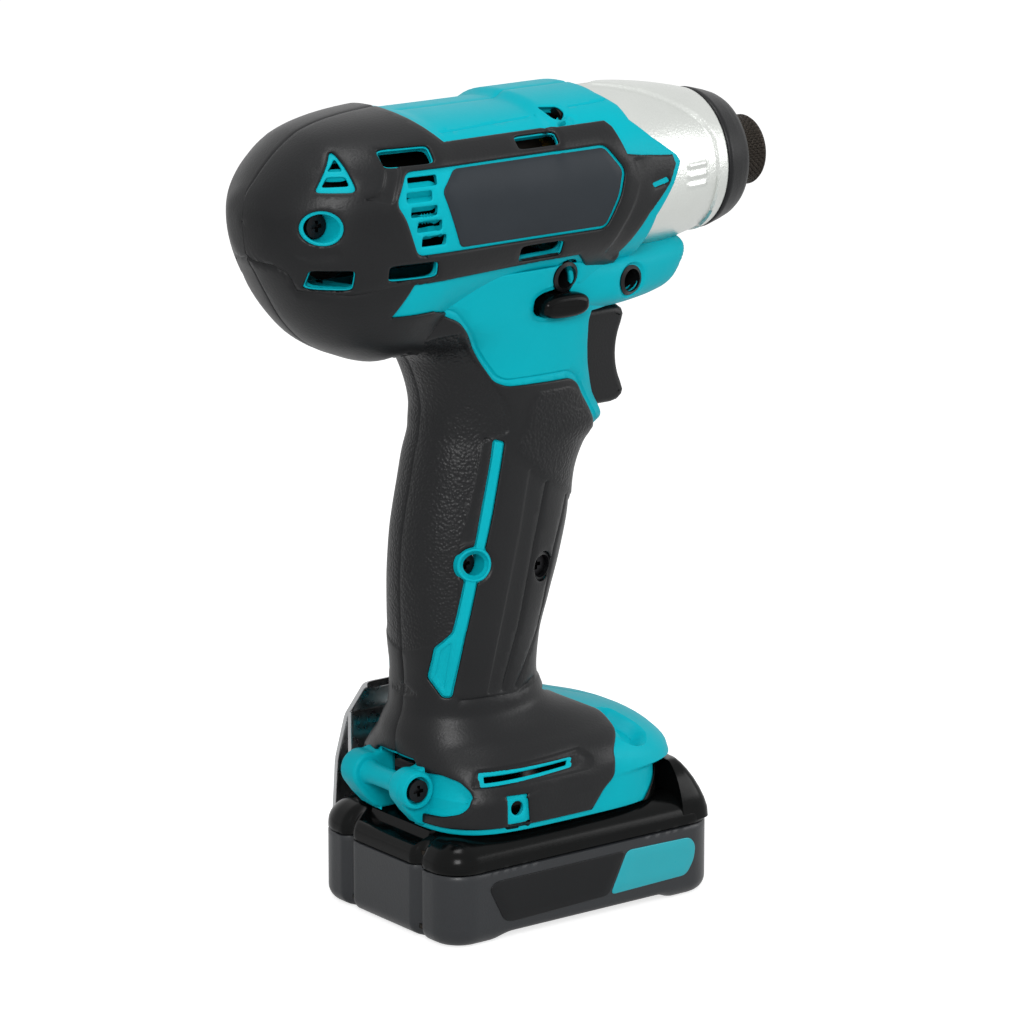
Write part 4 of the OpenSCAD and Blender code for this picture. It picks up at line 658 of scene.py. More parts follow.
def round_loop(x, z, half_x, half_z, lean=2.0, count=28):
    """A superellipse loop round a place: a circle or ellipse for a lean of 2, a rounded box for more."""
    a = np.linspace(0, 2 * np.pi, count, endpoint=False)
    return np.stack([x + half_x * power(np.cos(a), 2 / lean), z + half_z * power(np.sin(a), 2 / lean)], 1)


BARREL_SEAMS = [(1, np.pi / 2 * ROUND), (1, -np.pi / 2 * ROUND), (0, 0.0)]
HANDLE_SEAMS = [(1, 0.0), (1, np.pi * TURN)]
# Places far past the surface, which the maps bring back to a seam.
TOP, BOTTOM, FRONT, BACK = 999.0, -999.0, 999.0, -999.0

# %% [markdown]
# The teal half shells are the rigid body of the tool, moulded in two halves that meet on the middle
# plane. The barrel's shell is open to the front for the metal nose and has the cooling slots, the
# intake grille and the screw holes. Its drawing is in X and Z, as the side view shows it.

# %% Openings in the barrel
side_window = soft([(-52.2, 194.1), (5.9, 194.3), (10.9, 187.8), (9.5, 181.5), (5.5, 173.6), (-50.4, 173.7),
                    (-53.7, 183.2), (-56.0, 186.9)], 1.8)
plate_loop = soft([(-43.2, 188.7), (-39.1, 193.6), (5.6, 193.7), (10.2, 187.7), (8.9, 181.6), (5.2, 174.2),
                   (-38.2, 174.3)], 1.3)
vent_loop = soft([(-66.1, 199.6), (-64.9, 190.4), (-73.1, 190.4)], 1.5)
vent_upper = soft([(-66.4, 198.0), (-66.3, 195.4), (-69.0, 195.3)], 0.5)
vent_lower = soft([(-69.7, 194.0), (-66.3, 194.1), (-66.1, 192.0), (-71.4, 191.8)], 0.6)
slot_boxes = [(-57.0, -44.0, 195.4, 199.2), (-18.9, -7.1, 195.6, 198.4), (-19.9, -6.9, 168.1, 172.1),
              (-57.7, -44.7, 168.0, 171.8), (-74.2, -65.6, 166.4, 171.4)]


def slot_loop(box, inset=0.0):
    """A slot in side view: a superellipse that is nearly a rectangle, drawn in by an inset."""
    x0, x1, z0, z1 = box
    return round_loop((x0 + x1) / 2, (z0 + z1) / 2, (x1 - x0) / 2 - inset, (z1 - z0) / 2 - inset, 7.0, 40)


def shrunk(loop, inset):
    """A loop drawn in by an inset: each point moves along the mean normal of its two sides."""
    loop = np.asarray(loop, float)
    size = inset if inside(beside(loop, 0.01)[:1], loop)[0] else -inset
    before, after = loop - np.roll(loop, 1, axis=0), np.roll(loop, -1, axis=0) - loop
    before, after = (v / np.maximum(np.hypot(*v.T), 1e-9)[:, None] for v in (before, after))
    turn = np.stack([-(before + after)[:, 1], (before + after)[:, 0]], 1)
    return loop + size * turn / np.maximum(1 + (before * after).sum(1), 0.3)[:, None]


screw_x = -72.6
screw_hole = round_loop(screw_x, AXIS_Z, 3.4, 3.6, 2.0, 40)
screw_window = round_loop(screw_x, AXIS_Z, 4.0, 4.3, 2.0, 40)
top_screw, chin_screw = (-2.1, 161.7), (19.8, 157.7)
louvres = []
for z, closed_by in ((191.7, 0.0), (188.1, 1.0), (184.4, 1.0), (180.6, 1.0), (176.9, 1.0)):
    left = np.interp(z, [173.7, 183.2, 186.9, 194.1], [-50.4, -53.7, -56.0, -52.2]) + 1.3 + closed_by
    right = np.interp(z, [174.3, 188.7, 193.6], [-41.0, -45.8, -42.4]) - 0.6
    slit = [(left, z - 1.2), (right, z - 1.2), (right + 0.2, z + 1.2), (left + 0.2, z + 1.2)]
    louvres.append(soft(slit, 0.5))
print(len(slot_boxes), "slots and", len(louvres), "louvres on each side")

# %% Teal shell of the barrel
dent_loop = soft([(-4.6, 200.2), (-0.6, 201.6), (0.4, 200.6), (-0.2, 198.6), (-2.6, 197.3),
                  (-5.0, 198.4)], 0.8)
# A window at the dent's deep end lets the dark inside show: painted shade where the dent's recess is only in
# shadow.
dent_shade_window = soft([(-6.6, 203.9), (-1.0, 203.5), (-0.6, 202.3), (-2.8, 200.9), (-5.0, 201.3)], 0.8)
teal_outline = [(-79, BOTTOM), (-79, TOP), (13.0, TOP), (13.4, 204.8), (15.9, 202.2), (16.6, 199.0),
                (21.9, 194.2), (28.8, 189.2), (29.9, 187.3), (27.6, 182.1), (22.3, 174.3), (20.4, 166.0),
                (17.0, BOTTOM)]
# Besides the slots and louvres, the dent's window stands here as painted shade, not as a real opening of the
# shell.
teal_windows = [slot_loop(box, 0.15) for box in slot_boxes] + louvres + [dent_shade_window]
teal_windows += [vent_upper, vent_lower, screw_hole, round_loop(*top_screw, 4.0, 4.0)]
top_lines = [[(-36.5, 201.3), (-10.5, 201.9)], [(1.8, 203.2), (12.8, 203.4)]]
teal_barrel = skin(barrel_point, barrel_map(dense(teal_outline, 2.0, True)),
                   [barrel_map(dense(loop, 0.8, True)) for loop in teal_windows], 0.0, 0.4,
                   [(barrel_map(dent_loop), -0.9, 0.6, 0.0)],
                   [(barrel_map(dense(line, 1.0)), 0.35, 0.4) for line in top_lines], pitch=1.2,
                   seams=BARREL_SEAMS)
both_sides("barrel_shell", teal_barrel, teal_nylon, "teal_plastic", "housing", wall=2.4)

# %% [markdown]
# The black boot and side band are soft elastomer, moulded onto the shell. They stand 0.8 mm proud of
# it, with a rounded lip along every window. The boot has a step where its panels meet, the band
# falls off a little in front of the plate, and a fillet rounds the corner between boot and grip.

# %% Soft boot and side band
boot_outline = [(-82, BOTTOM), (-82, TOP), (-44.6, TOP), (-44.2, 205.3), (-38.9, 199.3), (8.4, 199.4),
                (9.9, 197.9), (12.1, 191.4), (16.7, 190.6), (27.1, 189.4), (28.1, 187.0), (25.4, 182.0),
                (19.6, 175.5), (13.2, 165.8), (14.8, 161.4), (8.4, 161.5), (4.1, 163.2), (-0.9, 167.4),
                (-50.7, 166.4), (-54.9, 158.5), (-43.3, 158.6), (-38.0, 157.2), (-30.0, 153.0),
                (-27.0, BOTTOM)]
dash_loop = soft([(19.9, 183.0), (24.6, 184.0), (25.6, 182.9), (20.7, 182.1)], 0.3)
boot_windows = [side_window, vent_loop, screw_window, dash_loop] + [slot_loop(box) for box in slot_boxes]
panel_step = soft([(-57.4, 199.0), (-57.0, 194.6), (-58.6, 191.2), (-60.4, 189.4), (-64.0, 188.6),
                   (-57.0, 187.0), (-53.5, 194.6), (-54.0, 199.0)], 1.0)
front_fall = soft([(13.6, 190.0), (15.4, 183.5), (10.5, 173.0), (7.5, 166.5), (12.0, 164.0), (21.0, 177.0),
                   (29.0, 187.2), (26.0, 190.5)], 1.0)
low_line = [(-81.0, 172.1), (-78.6, 171.7), (-76.8, 170.1), (-74.6, 165.8), (-65.0, 165.0), (-57.5, 166.2),
            (-51.5, 166.9)]
rear_dent = round_loop(-73.0, 175.6, 3.6, 1.6)
boot_zones = [(panel_step, -0.55, 0.5), (front_fall, -0.45, 0.8), (rear_dent, -0.5, 1.5)]
FILLET_HEIGHT, FILLET_REACH, FILLET_TOP, FILLET_FADE = 3.5, 4.0, 157.0, 9.0


def fillet(points, gap):
    """Height that fills the corner between boot and grip: highest where the other surface is met, falling
    off exponentially with the gap, and fading out towards the teal shell above."""
    fade = rise_in((FILLET_TOP - points[:, 2]) / FILLET_FADE)
    return FILLET_HEIGHT * np.exp(-np.maximum(gap, 0) / FILLET_REACH) * fade


def towards_grip(points):
    """Fillet on the boot: the gap is the way along the level to the grip's superellipse."""
    mid, deep, half, n = handle_section(np.maximum(points[:, 2], FOOT_Z))
    share = (np.abs((points[:, 0] - mid) / deep) ** n + np.abs(points[:, 1] / half) ** n) ** (1 / n)
    return fillet(points, (1 - 1 / np.maximum(share, 0.1)) * np.hypot(points[:, 0] - mid, points[:, 1]))


def towards_boot(points):
    """Fillet on the grip: the gap is the way to the barrel's superellipse on the line to the axis."""
    u = np.sqrt(np.clip((points[:, 0] - BARREL_REAR) / BARREL_L, 0.001, 1))
    w, _, down, n = barrel_section(u)
    drop = points[:, 2] - AXIS_Z
    share = (np.abs(points[:, 1] / w) ** n + np.abs(drop / down) ** n) ** (1 / n)
    return fillet(points, (1 - 1 / np.maximum(share, 0.1)) * np.hypot(points[:, 1], drop))


boot = skin(barrel_point, barrel_map(dense(boot_outline, 2.0, True)),
            [barrel_map(dense(loop, 0.8, True)) for loop in boot_windows], PROUD, 0.6,
            [(barrel_map(loop), height, ramp, 0.0) for loop, height, ramp in boot_zones],
            [(barrel_map(dense(low_line, 1.0)), 0.5, 0.45)], seams=BARREL_SEAMS, swell=towards_grip)
both_sides("soft_boot", boot, elastomer, "elastomer", "overmould", wall=1.5)

# %% [markdown]
# The name plate is a thin film in the band's window, with a line of the teal shell left round it. It
# stays bare here, with its real surface: a silky dark film whose edge stands just over the shell.

# %% Bare name plate
plate = skin(barrel_point, barrel_map(dense(plate_loop, 1.5, True)), (), 0.35, 0.3, seams=BARREL_SEAMS)
both_sides("name_plate", plate, plate_film, "plate_film", "name_plates", 0.8, paired=False)

# %% [markdown]
# The handle's shell follows the same way from foot to barrel. It opens at the front for the trigger,
# on the side for the direction button and at the back of the foot for the strap bar. A fine groove
# runs along the edge of the grip cover, and a dish in the foot's back corner leads to the strap lug.

# %% Teal shell of the handle
def on_handle(line, closed=True):
    """A side-view drawing carried onto the handle's map, with its straight runs divided first."""
    return handle_map(dense(line, 1.0, closed))


def seam_line(x, z0, z1):
    """The front or back seam of the handle between two heights."""
    return np.stack([np.full(8, x), np.linspace(z0, z1, 8)], 1)


def across(z, x0, x1):
    """A level line across the side between two places, kept on the surface."""
    return np.stack([np.linspace(x0, x1, 30), np.full(30, z)], 1)


trigger_edge = soft([(17.6, 121.8), (16.4, 123.6), (12.4, 131.4), (9.4, 138.0), (8.2, 144.0), (7.8, 148.8),
                     (9.0, 151.4)], 2.0, False)
strap_gap = back_map([(7.0, 43.0), (7.0, 38.0), (7.0, 32.0), (7.0, 26.9)])
shell_outline = np.vstack([
    handle_map(np.vstack([across(165.0, 18.0, -48.0), seam_line(BACK, 165.0, 43.0)])), strap_gap,
    handle_map(np.vstack([across(26.9, -38.0, 27.0), seam_line(FRONT, 26.9, 121.4)])),
    handle_map(np.vstack([dense(trigger_edge, 1.0), seam_line(FRONT, 151.4, 165.0)]))])
button_spot = (-3.1, 155.3)
button_hole = round_loop(*button_spot, 7.9, 3.4, 3.0, 40)
rib_screw, pocket_screw = (-26.2, 92.3), (-5.0, 88.6)
foot_slot = soft([(-29.6, 40.9), (-29.9, 39.5), (-6.7, 40.8), (-6.0, 41.8)], 0.3)
foot_eye = round_loop(-22.4, 32.7, 1.7, 1.8)
pocket_hole = soft([(13.6, 48.0), (16.6, 47.5), (16.2, 45.8), (14.8, 45.6)], 0.5)
shell_windows = [button_hole, foot_slot, foot_eye, round_loop(*top_screw, 3.5, 3.5),
                 round_loop(*chin_screw, 4.2, 4.2), round_loop(*rib_screw, 3.7, 3.7),
                 round_loop(*pocket_screw, 4.5, 4.5), pocket_hole]
pocket_loop = soft([(13.0, 48.6), (17.7, 47.9), (21.6, 44.6), (22.3, 43.1), (19.9, 41.5), (17.4, 41.4),
                    (14.1, 42.8), (14.7, 44.7), (12.6, 47.1)], 1.0)
scoop_loop = soft([(8.0, 40.0), (15.5, 40.6), (19.5, 39.4), (21.9, 37.1), (22.8, 34.7), (21.4, 32.6),
                   (17.9, 31.5), (8.0, 31.0)], 1.5)
edge_line = soft([(-36.5, 157.6), (-34.4, 156.7), (-30.8, 152.6), (-24.8, 144.2), (-20.2, 138.4),
                  (-17.4, 137.2), (1.7, 137.2), (5.0, 135.5), (9.8, 129.2), (14.6, 121.1)], 1.2, False)
shell_zones = [(on_handle(pocket_loop), -3.4, 0.8, 0.0),
               (back_map(dense(scoop_loop, 1.0, True)), -1.2, 1.4, 0.0),
               (on_handle(round_loop(*top_screw, 4.2, 3.9)), -0.8, 0.5, 0.0),
               (on_handle(round_loop(*button_spot, 9.0, 4.4, 3.0, 40)), -0.5, 0.5, 0.0)]
crest = np.interp([34.4, 34.9, 35.2, 35.5, 35.8, 36.1, 36.4, 36.9], heights, handle_run)
teal_handle = skin(handle_point, shell_outline, [on_handle(loop) for loop in shell_windows], 0.0, 0.4,
                   shell_zones, [(on_handle(edge_line, False), 0.38, 0.5)], seams=HANDLE_SEAMS,
                   levels=crest)
both_sides("handle_shell", teal_handle, teal_nylon, "teal_plastic", wall=2.4)

# %% [markdown]
# The grip cover is the same elastomer as the boot. The palm's zone and the thumb's patch carry a
# leather grain, a fluted panel runs down the front of the side, and a teal rib shows through a long
# window with a round boss for a screw. The foot has a shallow recess with a narrow slot.

# %% Soft grip cover
cover_top = soft([(14.4, 120.2), (12.1, 122.3), (8.6, 128.2), (4.8, 134.0), (1.9, 135.6), (-17.2, 135.9),
                  (-20.8, 137.4), (-24.7, 142.6), (-30.3, 150.7), (-33.9, 154.8),
                  (-38.0, 156.6)], 1.5, False)
cover_front = soft([(0.7, 28.5), (4.4, 33.1), (7.8, 35.6), (8.6, 41.8), (12.8, 45.1), (13.4, 48.2),
                    (1.2, 54.2), (-2.2, 55.9)], 1.2, False)
cover_scoop = soft([(7.0, 43.5), (9.6, 40.9), (15.5, 41.0), (19.7, 39.7), (22.2, 37.3), (23.1, 34.7),
                    (21.7, 32.4), (17.9, 31.2), (10.8, 30.8), (10.4, 28.4)], 1.2, False)
cover_outline = np.vstack([handle_map(dense(cover_top, 1.0)), handle_map(seam_line(BACK, 158.0, 43.8)),
                           back_map(dense(cover_scoop, 1.0)),
                           handle_map(np.vstack([across(28.4, -38.4, 0.6), dense(cover_front, 1.0)[1:],
                                                 seam_line(FRONT, 57.2, 119.5)]))])
rib_loop = soft([(-17.3, 121.9), (-21.1, 104.6), (-25.6, 87.6), (-28.7, 74.3), (-31.3, 59.1), (-33.1, 58.9),
                 (-35.4, 63.8), (-34.8, 71.8), (-31.5, 75.8), (-28.8, 88.4), (-26.3, 96.1),
                 (-20.1, 122.8)], 0.8)
boss_loop = round_loop(*rib_screw, 4.2, 4.2, 2.0, 40)
palm_zone = soft([(-33.5, 152.0), (-30.0, 148.0), (-22.9, 139.4), (-17.6, 132.8), (-15.9, 129.3),
                  (-16.4, 124.0), (-19.2, 123.4), (-23.1, 122.0), (-26.2, 109.2), (-30.0, 96.2),
                  (-30.1, 84.4), (-31.5, 76.1), (-34.8, 72.4), (-37.6, 70.3), (-38.0, 64.0),
                  (-36.5, 59.0)], 1.2, False)
palm_loop = np.vstack([on_handle(palm_zone, False), handle_map(seam_line(BACK, 57.0, 152.0)) + [0, 6.0]])
patch_loop = soft([(-14.3, 119.4), (-11.4, 124.6), (-10.9, 130.5), (-8.1, 133.4), (2.1, 133.4),
                   (5.3, 131.8), (11.3, 121.7), (13.0, 112.0), (8.0, 103.6), (4.4, 106.4),
                   (-5.4, 112.2)], 1.2)
fluted_side = soft([(8.6, 102.0), (4.4, 105.4), (-5.4, 111.1), (-10.2, 114.4), (-13.4, 98.9), (-19.1, 76.1),
                    (-22.9, 59.2), (-13.5, 58.6)], 0.8, False)
fluted_loop = np.vstack([on_handle(fluted_side, False),
                         handle_map(seam_line(FRONT, 60.0, 101.0)) - [0, 6.0]])
flutes = [[(-4.2, 110.0), (-8.1, 95.6), (-13.0, 74.8), (-18.2, 59.6)],
          [(4.4, 104.6), (-0.3, 92.6), (-4.8, 72.8), (-13.6, 59.6)]]
dark_band = soft([(-22.2, 123.4), (-20.3, 122.7), (-26.2, 98.0), (-28.6, 97.6), (-30.0, 96.6),
                  (-27.0, 105.2)], 0.6)
recess_loop = soft([(-32.8, 38.3), (-30.6, 42.2), (-1.8, 43.7), (0.8, 41.4), (-0.3, 39.0)], 0.8)
eye_window = soft([(-25.3, 36.0), (-19.6, 35.9), (-19.1, 28.9), (-25.4, 28.9)], 0.3)
slot_window = soft([(-30.5, 41.7), (-30.9, 38.6), (-5.8, 40.2), (-5.1, 42.3)], 0.4)
screw_pocket = round_loop(-4.6, 88.6, 3.3, 3.8, 2.0, 36)
boss_window = round_loop(*rib_screw, 3.9, 3.9, 2.0, 40)
cover_windows = [on_handle(loop) for loop in (rib_loop, slot_window, eye_window, screw_pocket, boss_window)]
cover_zones = [(palm_loop, -0.3, 0.5, 1.0), (on_handle(patch_loop), 0.35, 0.5, 0.8),
               (fluted_loop, -0.3, 0.4, 0.0), (on_handle(dark_band), -0.4, 0.3, 0.0),
               (on_handle(recess_loop), -0.6, 0.4, 0.0),
               (on_handle(round_loop(*rib_screw, 4.8, 4.8, 2.0, 40)), -0.4, 0.4, 0.0)]
cover_lines = [(line, 0.45, 0.4) for line in flutes]
cover_lines += [([(-29.6, 58.2), (-23.5, 58.4), (-13.4, 58.2), (-6.6, 60.0)], 0.5, 0.4)]
cover = skin(handle_point, cover_outline, cover_windows, PROUD, 0.5, cover_zones,
             [(on_handle(line, False), width, depth) for line, width, depth in cover_lines], pitch=1.4,
             seams=HANDLE_SEAMS, swell=towards_boot)
both_sides("grip_cover", cover, elastomer, "elastomer", wall=1.5)

# %% Teal rib and boss seen through the cover
rib_foot = soft([(-31.7, 73.2), (-33.6, 71.2), (-34.3, 64.6), (-33.1, 61.6), (-32.7, 61.6)], 0.5)
boss_hole = round_loop(*rib_screw, 3.5, 3.5, 2.0, 40)
rib = skin(handle_point, on_handle(shrunk(rib_loop, 0.3)), [on_handle(boss_window)], 0.7, 0.4,
           [(on_handle(rib_foot), -0.35, 0.25, 0.0)], seams=HANDLE_SEAMS)
both_sides("grip_rib", rib, teal_nylon, "teal_plastic", wall=1.2)
boss = skin(handle_point, on_handle(boss_loop), [on_handle(boss_hole)], 0.95, 0.3)
both_sides("grip_boss", boss, teal_nylon, "teal_plastic", wall=1.6)

# %% [markdown]
# Turned and moulded pieces close on themselves, so they are grids whose rows or columns join up. A
# turned piece carries a profile of length and radius round the driving axis. A prism carries an
# outline across the tool and draws it in near both ends by a quarter circle, which rounds its edges.

# %% Closed grids
def grid_faces(rows, cols, wrap_rows=False):
    """Quads of a grid that joins up round its columns, and round its rows too where these wrap."""
    i, j = np.meshgrid(np.arange(rows if wrap_rows else rows - 1), np.arange(cols), indexing="ij")
    down, on = (i + 1) % rows * cols, (j + 1) % cols
    return np.stack([i * cols + j, i * cols + on, down + on, down + j], -1).reshape(-1, 4)


def outward(points, groups):
    """Faces turned so that the volume they enclose, summed over fans of triangles, is positive."""
    volume = 0.0
    for group in groups:
        for k in range(1, group.shape[1] - 1):
            a, b, c = points[group[:, 0]], points[group[:, k]], points[group[:, k + 1]]
            volume += (a * np.cross(b, c)).sum()
    return groups if volume > 0 else [group[:, ::-1] for group in groups]


def turned(profile, count, step=0.6, swell=None):
    """A closed profile of X and radius carried round the axis; swell adds to the radius by X and angle."""
    x, r = dense(profile, step, True).T
    length, angle = np.meshgrid(x, np.linspace(0, 2 * np.pi, count, endpoint=False), indexing="ij")
    radius = r[:, None] + np.zeros(count)
    if swell:
        radius = radius + swell(length, angle, radius)
    points = np.stack([length, -radius * np.cos(angle), AXIS_Z + radius * np.sin(angle)], -1).reshape(-1, 3)
    return points, outward(points, [grid_faces(len(x), count, True)])


def stack(rings):
    """A closed piece from rings of equal count, the first and last of them closed by one face each."""
    rows, cols = len(rings), len(rings[0])
    points = np.concatenate(rings)
    caps = np.stack([np.arange(cols), (rows - 1) * cols + np.arange(cols)[::-1]])
    return points, outward(points, [grid_faces(rows, cols), caps[:1, ::-1], caps[1:, ::-1]])


PRISM_END = 1.12


def prism(loop, low, high, edge, across="y"):
    """A loop carried from low to high, across the tool or upwards, with edges rounded by a quarter
    circle. The flat ends are drawn in a little further than the edge."""
    t = np.linspace(0, np.pi / 2, 5)
    inset = edge * np.concatenate([[PRISM_END], 1 - np.sin(t), 1 - np.sin(t[::-1]), [PRISM_END]])
    place = np.concatenate([[low], low + edge * (1 - np.cos(t)), high - edge * (1 - np.cos(t[::-1])),
                            [high]])
    rings = []
    for drawn_in, at in zip(inset, place):
        u, v = shrunk(loop, drawn_in).T
        level = np.full(len(u), at)
        rings.append(np.stack([u, level, v] if across == "y" else [u, v, level], 1))
    return stack(rings)


# %% [markdown]
# The hammer case is die-cast aluminium, tumbled and lacquered. Its profile is a barrel that closes in
# towards the nose. The lower flanks are a little lower than the top and the front, with a soft step
# between them, and three short ribs stand on each flank.

# %% Hammer case
case_run = np.linspace(0, 1, 40)
case_curve = np.stack([20.0 + 30.5 * case_run, 17.7 + 4.5 * (1 - case_run ** 1.8)], 1)
case_mouth = [(50.1, 17.8), (50.5, 17.3), (50.5, 11.8), (48.0, 11.8), (46.0, 15.2), (22.0, 19.4)]
case_profile = np.vstack([[(10.0, 19.4), (10.0, 22.2)], case_curve[:-1], case_mouth])
FLANK_DROP, RIB_HEIGHT = 0.7, 0.5


def case_swell(x, angle, radius):
    """Lower flank: the drop is taken off below the step line. Ribs: three bells along X on each flank."""
    rise = np.degrees(np.arcsin(np.sin(angle)))
    step_line = np.interp(x, [20.0, 30.4, 35.5, 40.0, 43.5, 46.2, 47.4],
                          [88.0, 72.0, 62.0, 52.0, 42.0, 26.0, -60.0])
    outer = (radius > 16.5) & (x < 49.0)
    drop = -FLANK_DROP * rise_in((step_line - rise) / 5.0 + 0.5) * outer
    height = radius * np.sin(angle)
    ribs = sum(np.exp(-((height - spot) / 0.55) ** 4) for spot in (-2.6, 0.0, 2.6))
    ends_of_ribs = rise_in((x - 35.0) / 0.8) * rise_in((42.5 - x) / 0.8)
    return drop + RIB_HEIGHT * ribs * ends_of_ribs * outer


put("hammer_case_skin", *turned(case_profile, 288, 0.55, case_swell), cast_aluminium, "housing",
    "cast_aluminium", ("hammer_case",), sharp=50)

# %% [markdown]
# A rubber ring closes the nose, and the bit sleeve slides in it. The sleeve's knurl is a set of
# diamonds: two families of helical grooves, and the height is the distance to the nearer groove.

# %% Nose ring and bit sleeve
ring_profile = [(50.7, 11.0), (50.7, 17.2), (51.1, 17.65), (51.9, 17.7), (55.4, 16.75), (57.6, 16.0),
                (58.7, 15.35), (59.5, 14.4), (59.9, 13.2), (59.9, 11.6), (59.6, 11.0), (59.0, 10.8),
                (51.2, 10.8)]
put("nose_ring_skin", *turned(ring_profile, 192, 0.5), elastomer, "housing", "elastomer", ("nose_ring",),
    sharp=50)
DIAMONDS, DIAMOND_HEIGHT = 42, 0.4


def knurl(x, angle, radius):
    """Diamonds between X 61 and 69: a height by the distance to the nearer of two helical grooves."""
    turn, along = angle / (2 * np.pi) * DIAMONDS, x / 1.5
    to_groove = [1 - 2 * np.abs((turn + way * along) % 1 - 0.5) for way in (1, -1)]
    height = np.minimum(1, 1.7 * np.minimum(*to_groove)) - 1
    where = rise_in((x - 60.9) / 0.3) * rise_in((69.2 - x) / 0.3) * (radius > 8.4)
    return DIAMOND_HEIGHT * height * where


sleeve_profile = [(55.8, 7.9), (55.8, 8.5), (56.2, 8.8), (60.4, 8.8), (60.7, 8.6), (61.0, 8.8), (69.3, 8.8),
                  (69.8, 8.5), (70.1, 8.1), (70.1, 7.6), (69.4, 7.3), (68.6, 7.9)]
put("bit_sleeve_skin", *turned(sleeve_profile, DIAMONDS * 8, 0.22, knurl), phosphate_steel, "bit_sleeve",
    "dark_steel", ("bit_sleeve",), sharp=50)

# %% [markdown]
# The chin is the part of the teal shell that reaches under the hammer case and holds the lamp. It is
# a loft of superellipses that closes in a flat front, with a screw hole in its side. The sections lean
# forward more and more towards the front, so the front face is slanted.

# %% Chin
chin_rows = np.array([[0, 19.5, 168.0, 149.8], [14.9, 19.1, 167.0, 150.0], [29.9, 15.6, 166.0, 150.4],
                      [37.4, 13.2, 165.2, 151.3], [39.2, 12.3, 164.7, 152.0], [40.1, 11.3, 164.0, 152.9],
                      [40.5, 9.8, 163.0, 154.0], [40.6, 5.0, 160.8, 156.4], [40.6, 0.0, 158.6, 158.4]])
CHIN_LEAN, CHIN_MIDDLE_Z, LEAN_FROM_X, LEAN_OVER = 0.6, 158.5, 14, 24
chin_run = run_along(*chin_rows[:, :2].T)


def chin_point(m):
    """Chin point of a map place: the run gives a section, and the angle a place on its superellipse."""
    x, half, up, low = smooth_rows(chin_run, chin_rows, np.clip(m[:, 0], 0, chin_run[-1])).T
    a = m[:, 1] / ROUND
    side, rise = power(np.cos(a), 2 / 3), power(np.sin(a), 2 / 3)
    z = (up + low) / 2 + (up - low) / 2 * rise
    lean = CHIN_LEAN * (z - CHIN_MIDDLE_Z) * rise_in((x - LEAN_FROM_X) / LEAN_OVER)
    return np.stack([x + lean, -half * side, z], 1)


def chin_map(xz):
    """Map places of X and Z in side view on the chin."""
    xz = np.asarray(xz, float)
    at = np.interp(xz[:, 0], chin_rows[:, 0], chin_run)
    up, low = smooth_rows(chin_run, chin_rows[:, 2:], at).T
    share = np.clip((xz[:, 1] - (up + low) / 2) / ((up - low) / 2), -1, 1)
    return np.stack([at, np.arcsin(power(share, 1.5)) * ROUND], 1)


quarter = np.pi / 2 * ROUND
chin_loop = [(0, -quarter), (chin_run[-1], -quarter), (chin_run[-1], quarter), (0, quarter)]
chin_hole = round_loop(*chin_screw, 3.5, 3.5)
chin = skin(chin_point, dense(chin_loop, 1.2, True), [chin_map(chin_hole)], 0.0, 0.4,
            [(chin_map(round_loop(*chin_screw, 4.4, 4.4)), -0.8, 0.5, 0.0)],
            seams=BARREL_SEAMS + [(0, chin_run[-1])])
both_sides("chin", chin, teal_nylon, "teal_plastic", wall=2.0)

# %% [markdown]
# The trigger is a hollow moulding with a scooped front, here a prism with generous edges. The
# direction button goes right through the handle as one glossy bar with rounded ends.

# %% Trigger and direction button
swing = np.linspace(-0.52, 0.52, 15)
scoop = np.stack([40.1 - 17.0 * np.cos(swing), 137.3 + 17.0 * np.sin(swing)], 1)
trigger_low = [(-0.6, 124.9), (21.5, 124.9), (23.6, 125.3), (25.0, 126.4), (25.5, 127.8)]
trigger_high = [(25.5, 147.0), (25.0, 148.4), (23.6, 149.4), (21.5, 149.7), (-0.6, 149.7)]
trigger_loop = dense(np.vstack([trigger_low, scoop[1:-1], trigger_high]), 1.0, True)
put("trigger_skin", *prism(trigger_loop, -8.4, 8.4, 1.8), elastomer, "trigger", "elastomer", ("trigger",),
    sharp=50)
button_loop = round_loop(-3.0, 154.9, 6.9, 3.0, 2.8, 48)
put("direction_button", *prism(button_loop, -22.6, 22.6, 1.7), gloss_abs, "reverse_button", "gloss_black",
    ("reverse_button",), sharp=50)

# %% [markdown]
# Each side screw sits at the bottom of a round well. A well's rim follows the shell's surface and its
# floor is flat, so its four rings are computed from the surface. On the left side the bosses are
# blind, and a sunk disc closes each of them. The wells of the top screw and the chin screw lie in the
# teal shell but are made of the black elastomer: their black is painted shade in the recess, and the
# blind discs of these two take the same black.

# %% Screw wells
WELL_FLOOR, REAR_WELL_FLOOR = -10.0, -13.0


def well(point, to_map, x, z, bore, floor_y, wall=0.9, count=40):
    """A tube across the tool between the shell's surface and a floor, with a bore and a wall."""
    narrow = round_loop(x, z, bore, bore, 2.0, count)
    wide = round_loop(x, z, bore + wall, bore + wall, 2.0, count)
    rings = []
    for loop, sunk in ((wide, 0.5), (narrow, 0.15)):
        rim = point(to_map(loop))
        floor_ring = np.column_stack([loop[:, 0], np.full(count, floor_y), loop[:, 1]])
        pair = [floor_ring, np.column_stack([loop[:, 0], rim[:, 1] + sunk, loop[:, 1]])]
        rings += pair if sunk == 0.5 else pair[::-1]
    points = np.concatenate(rings)
    return points, outward(points, [grid_faces(4, count, True)])


def mirrored(points, groups):
    """The same piece on the other side of the middle plane, its faces turned to match."""
    return points * [1, -1, 1], [group[:, ::-1] for group in groups]


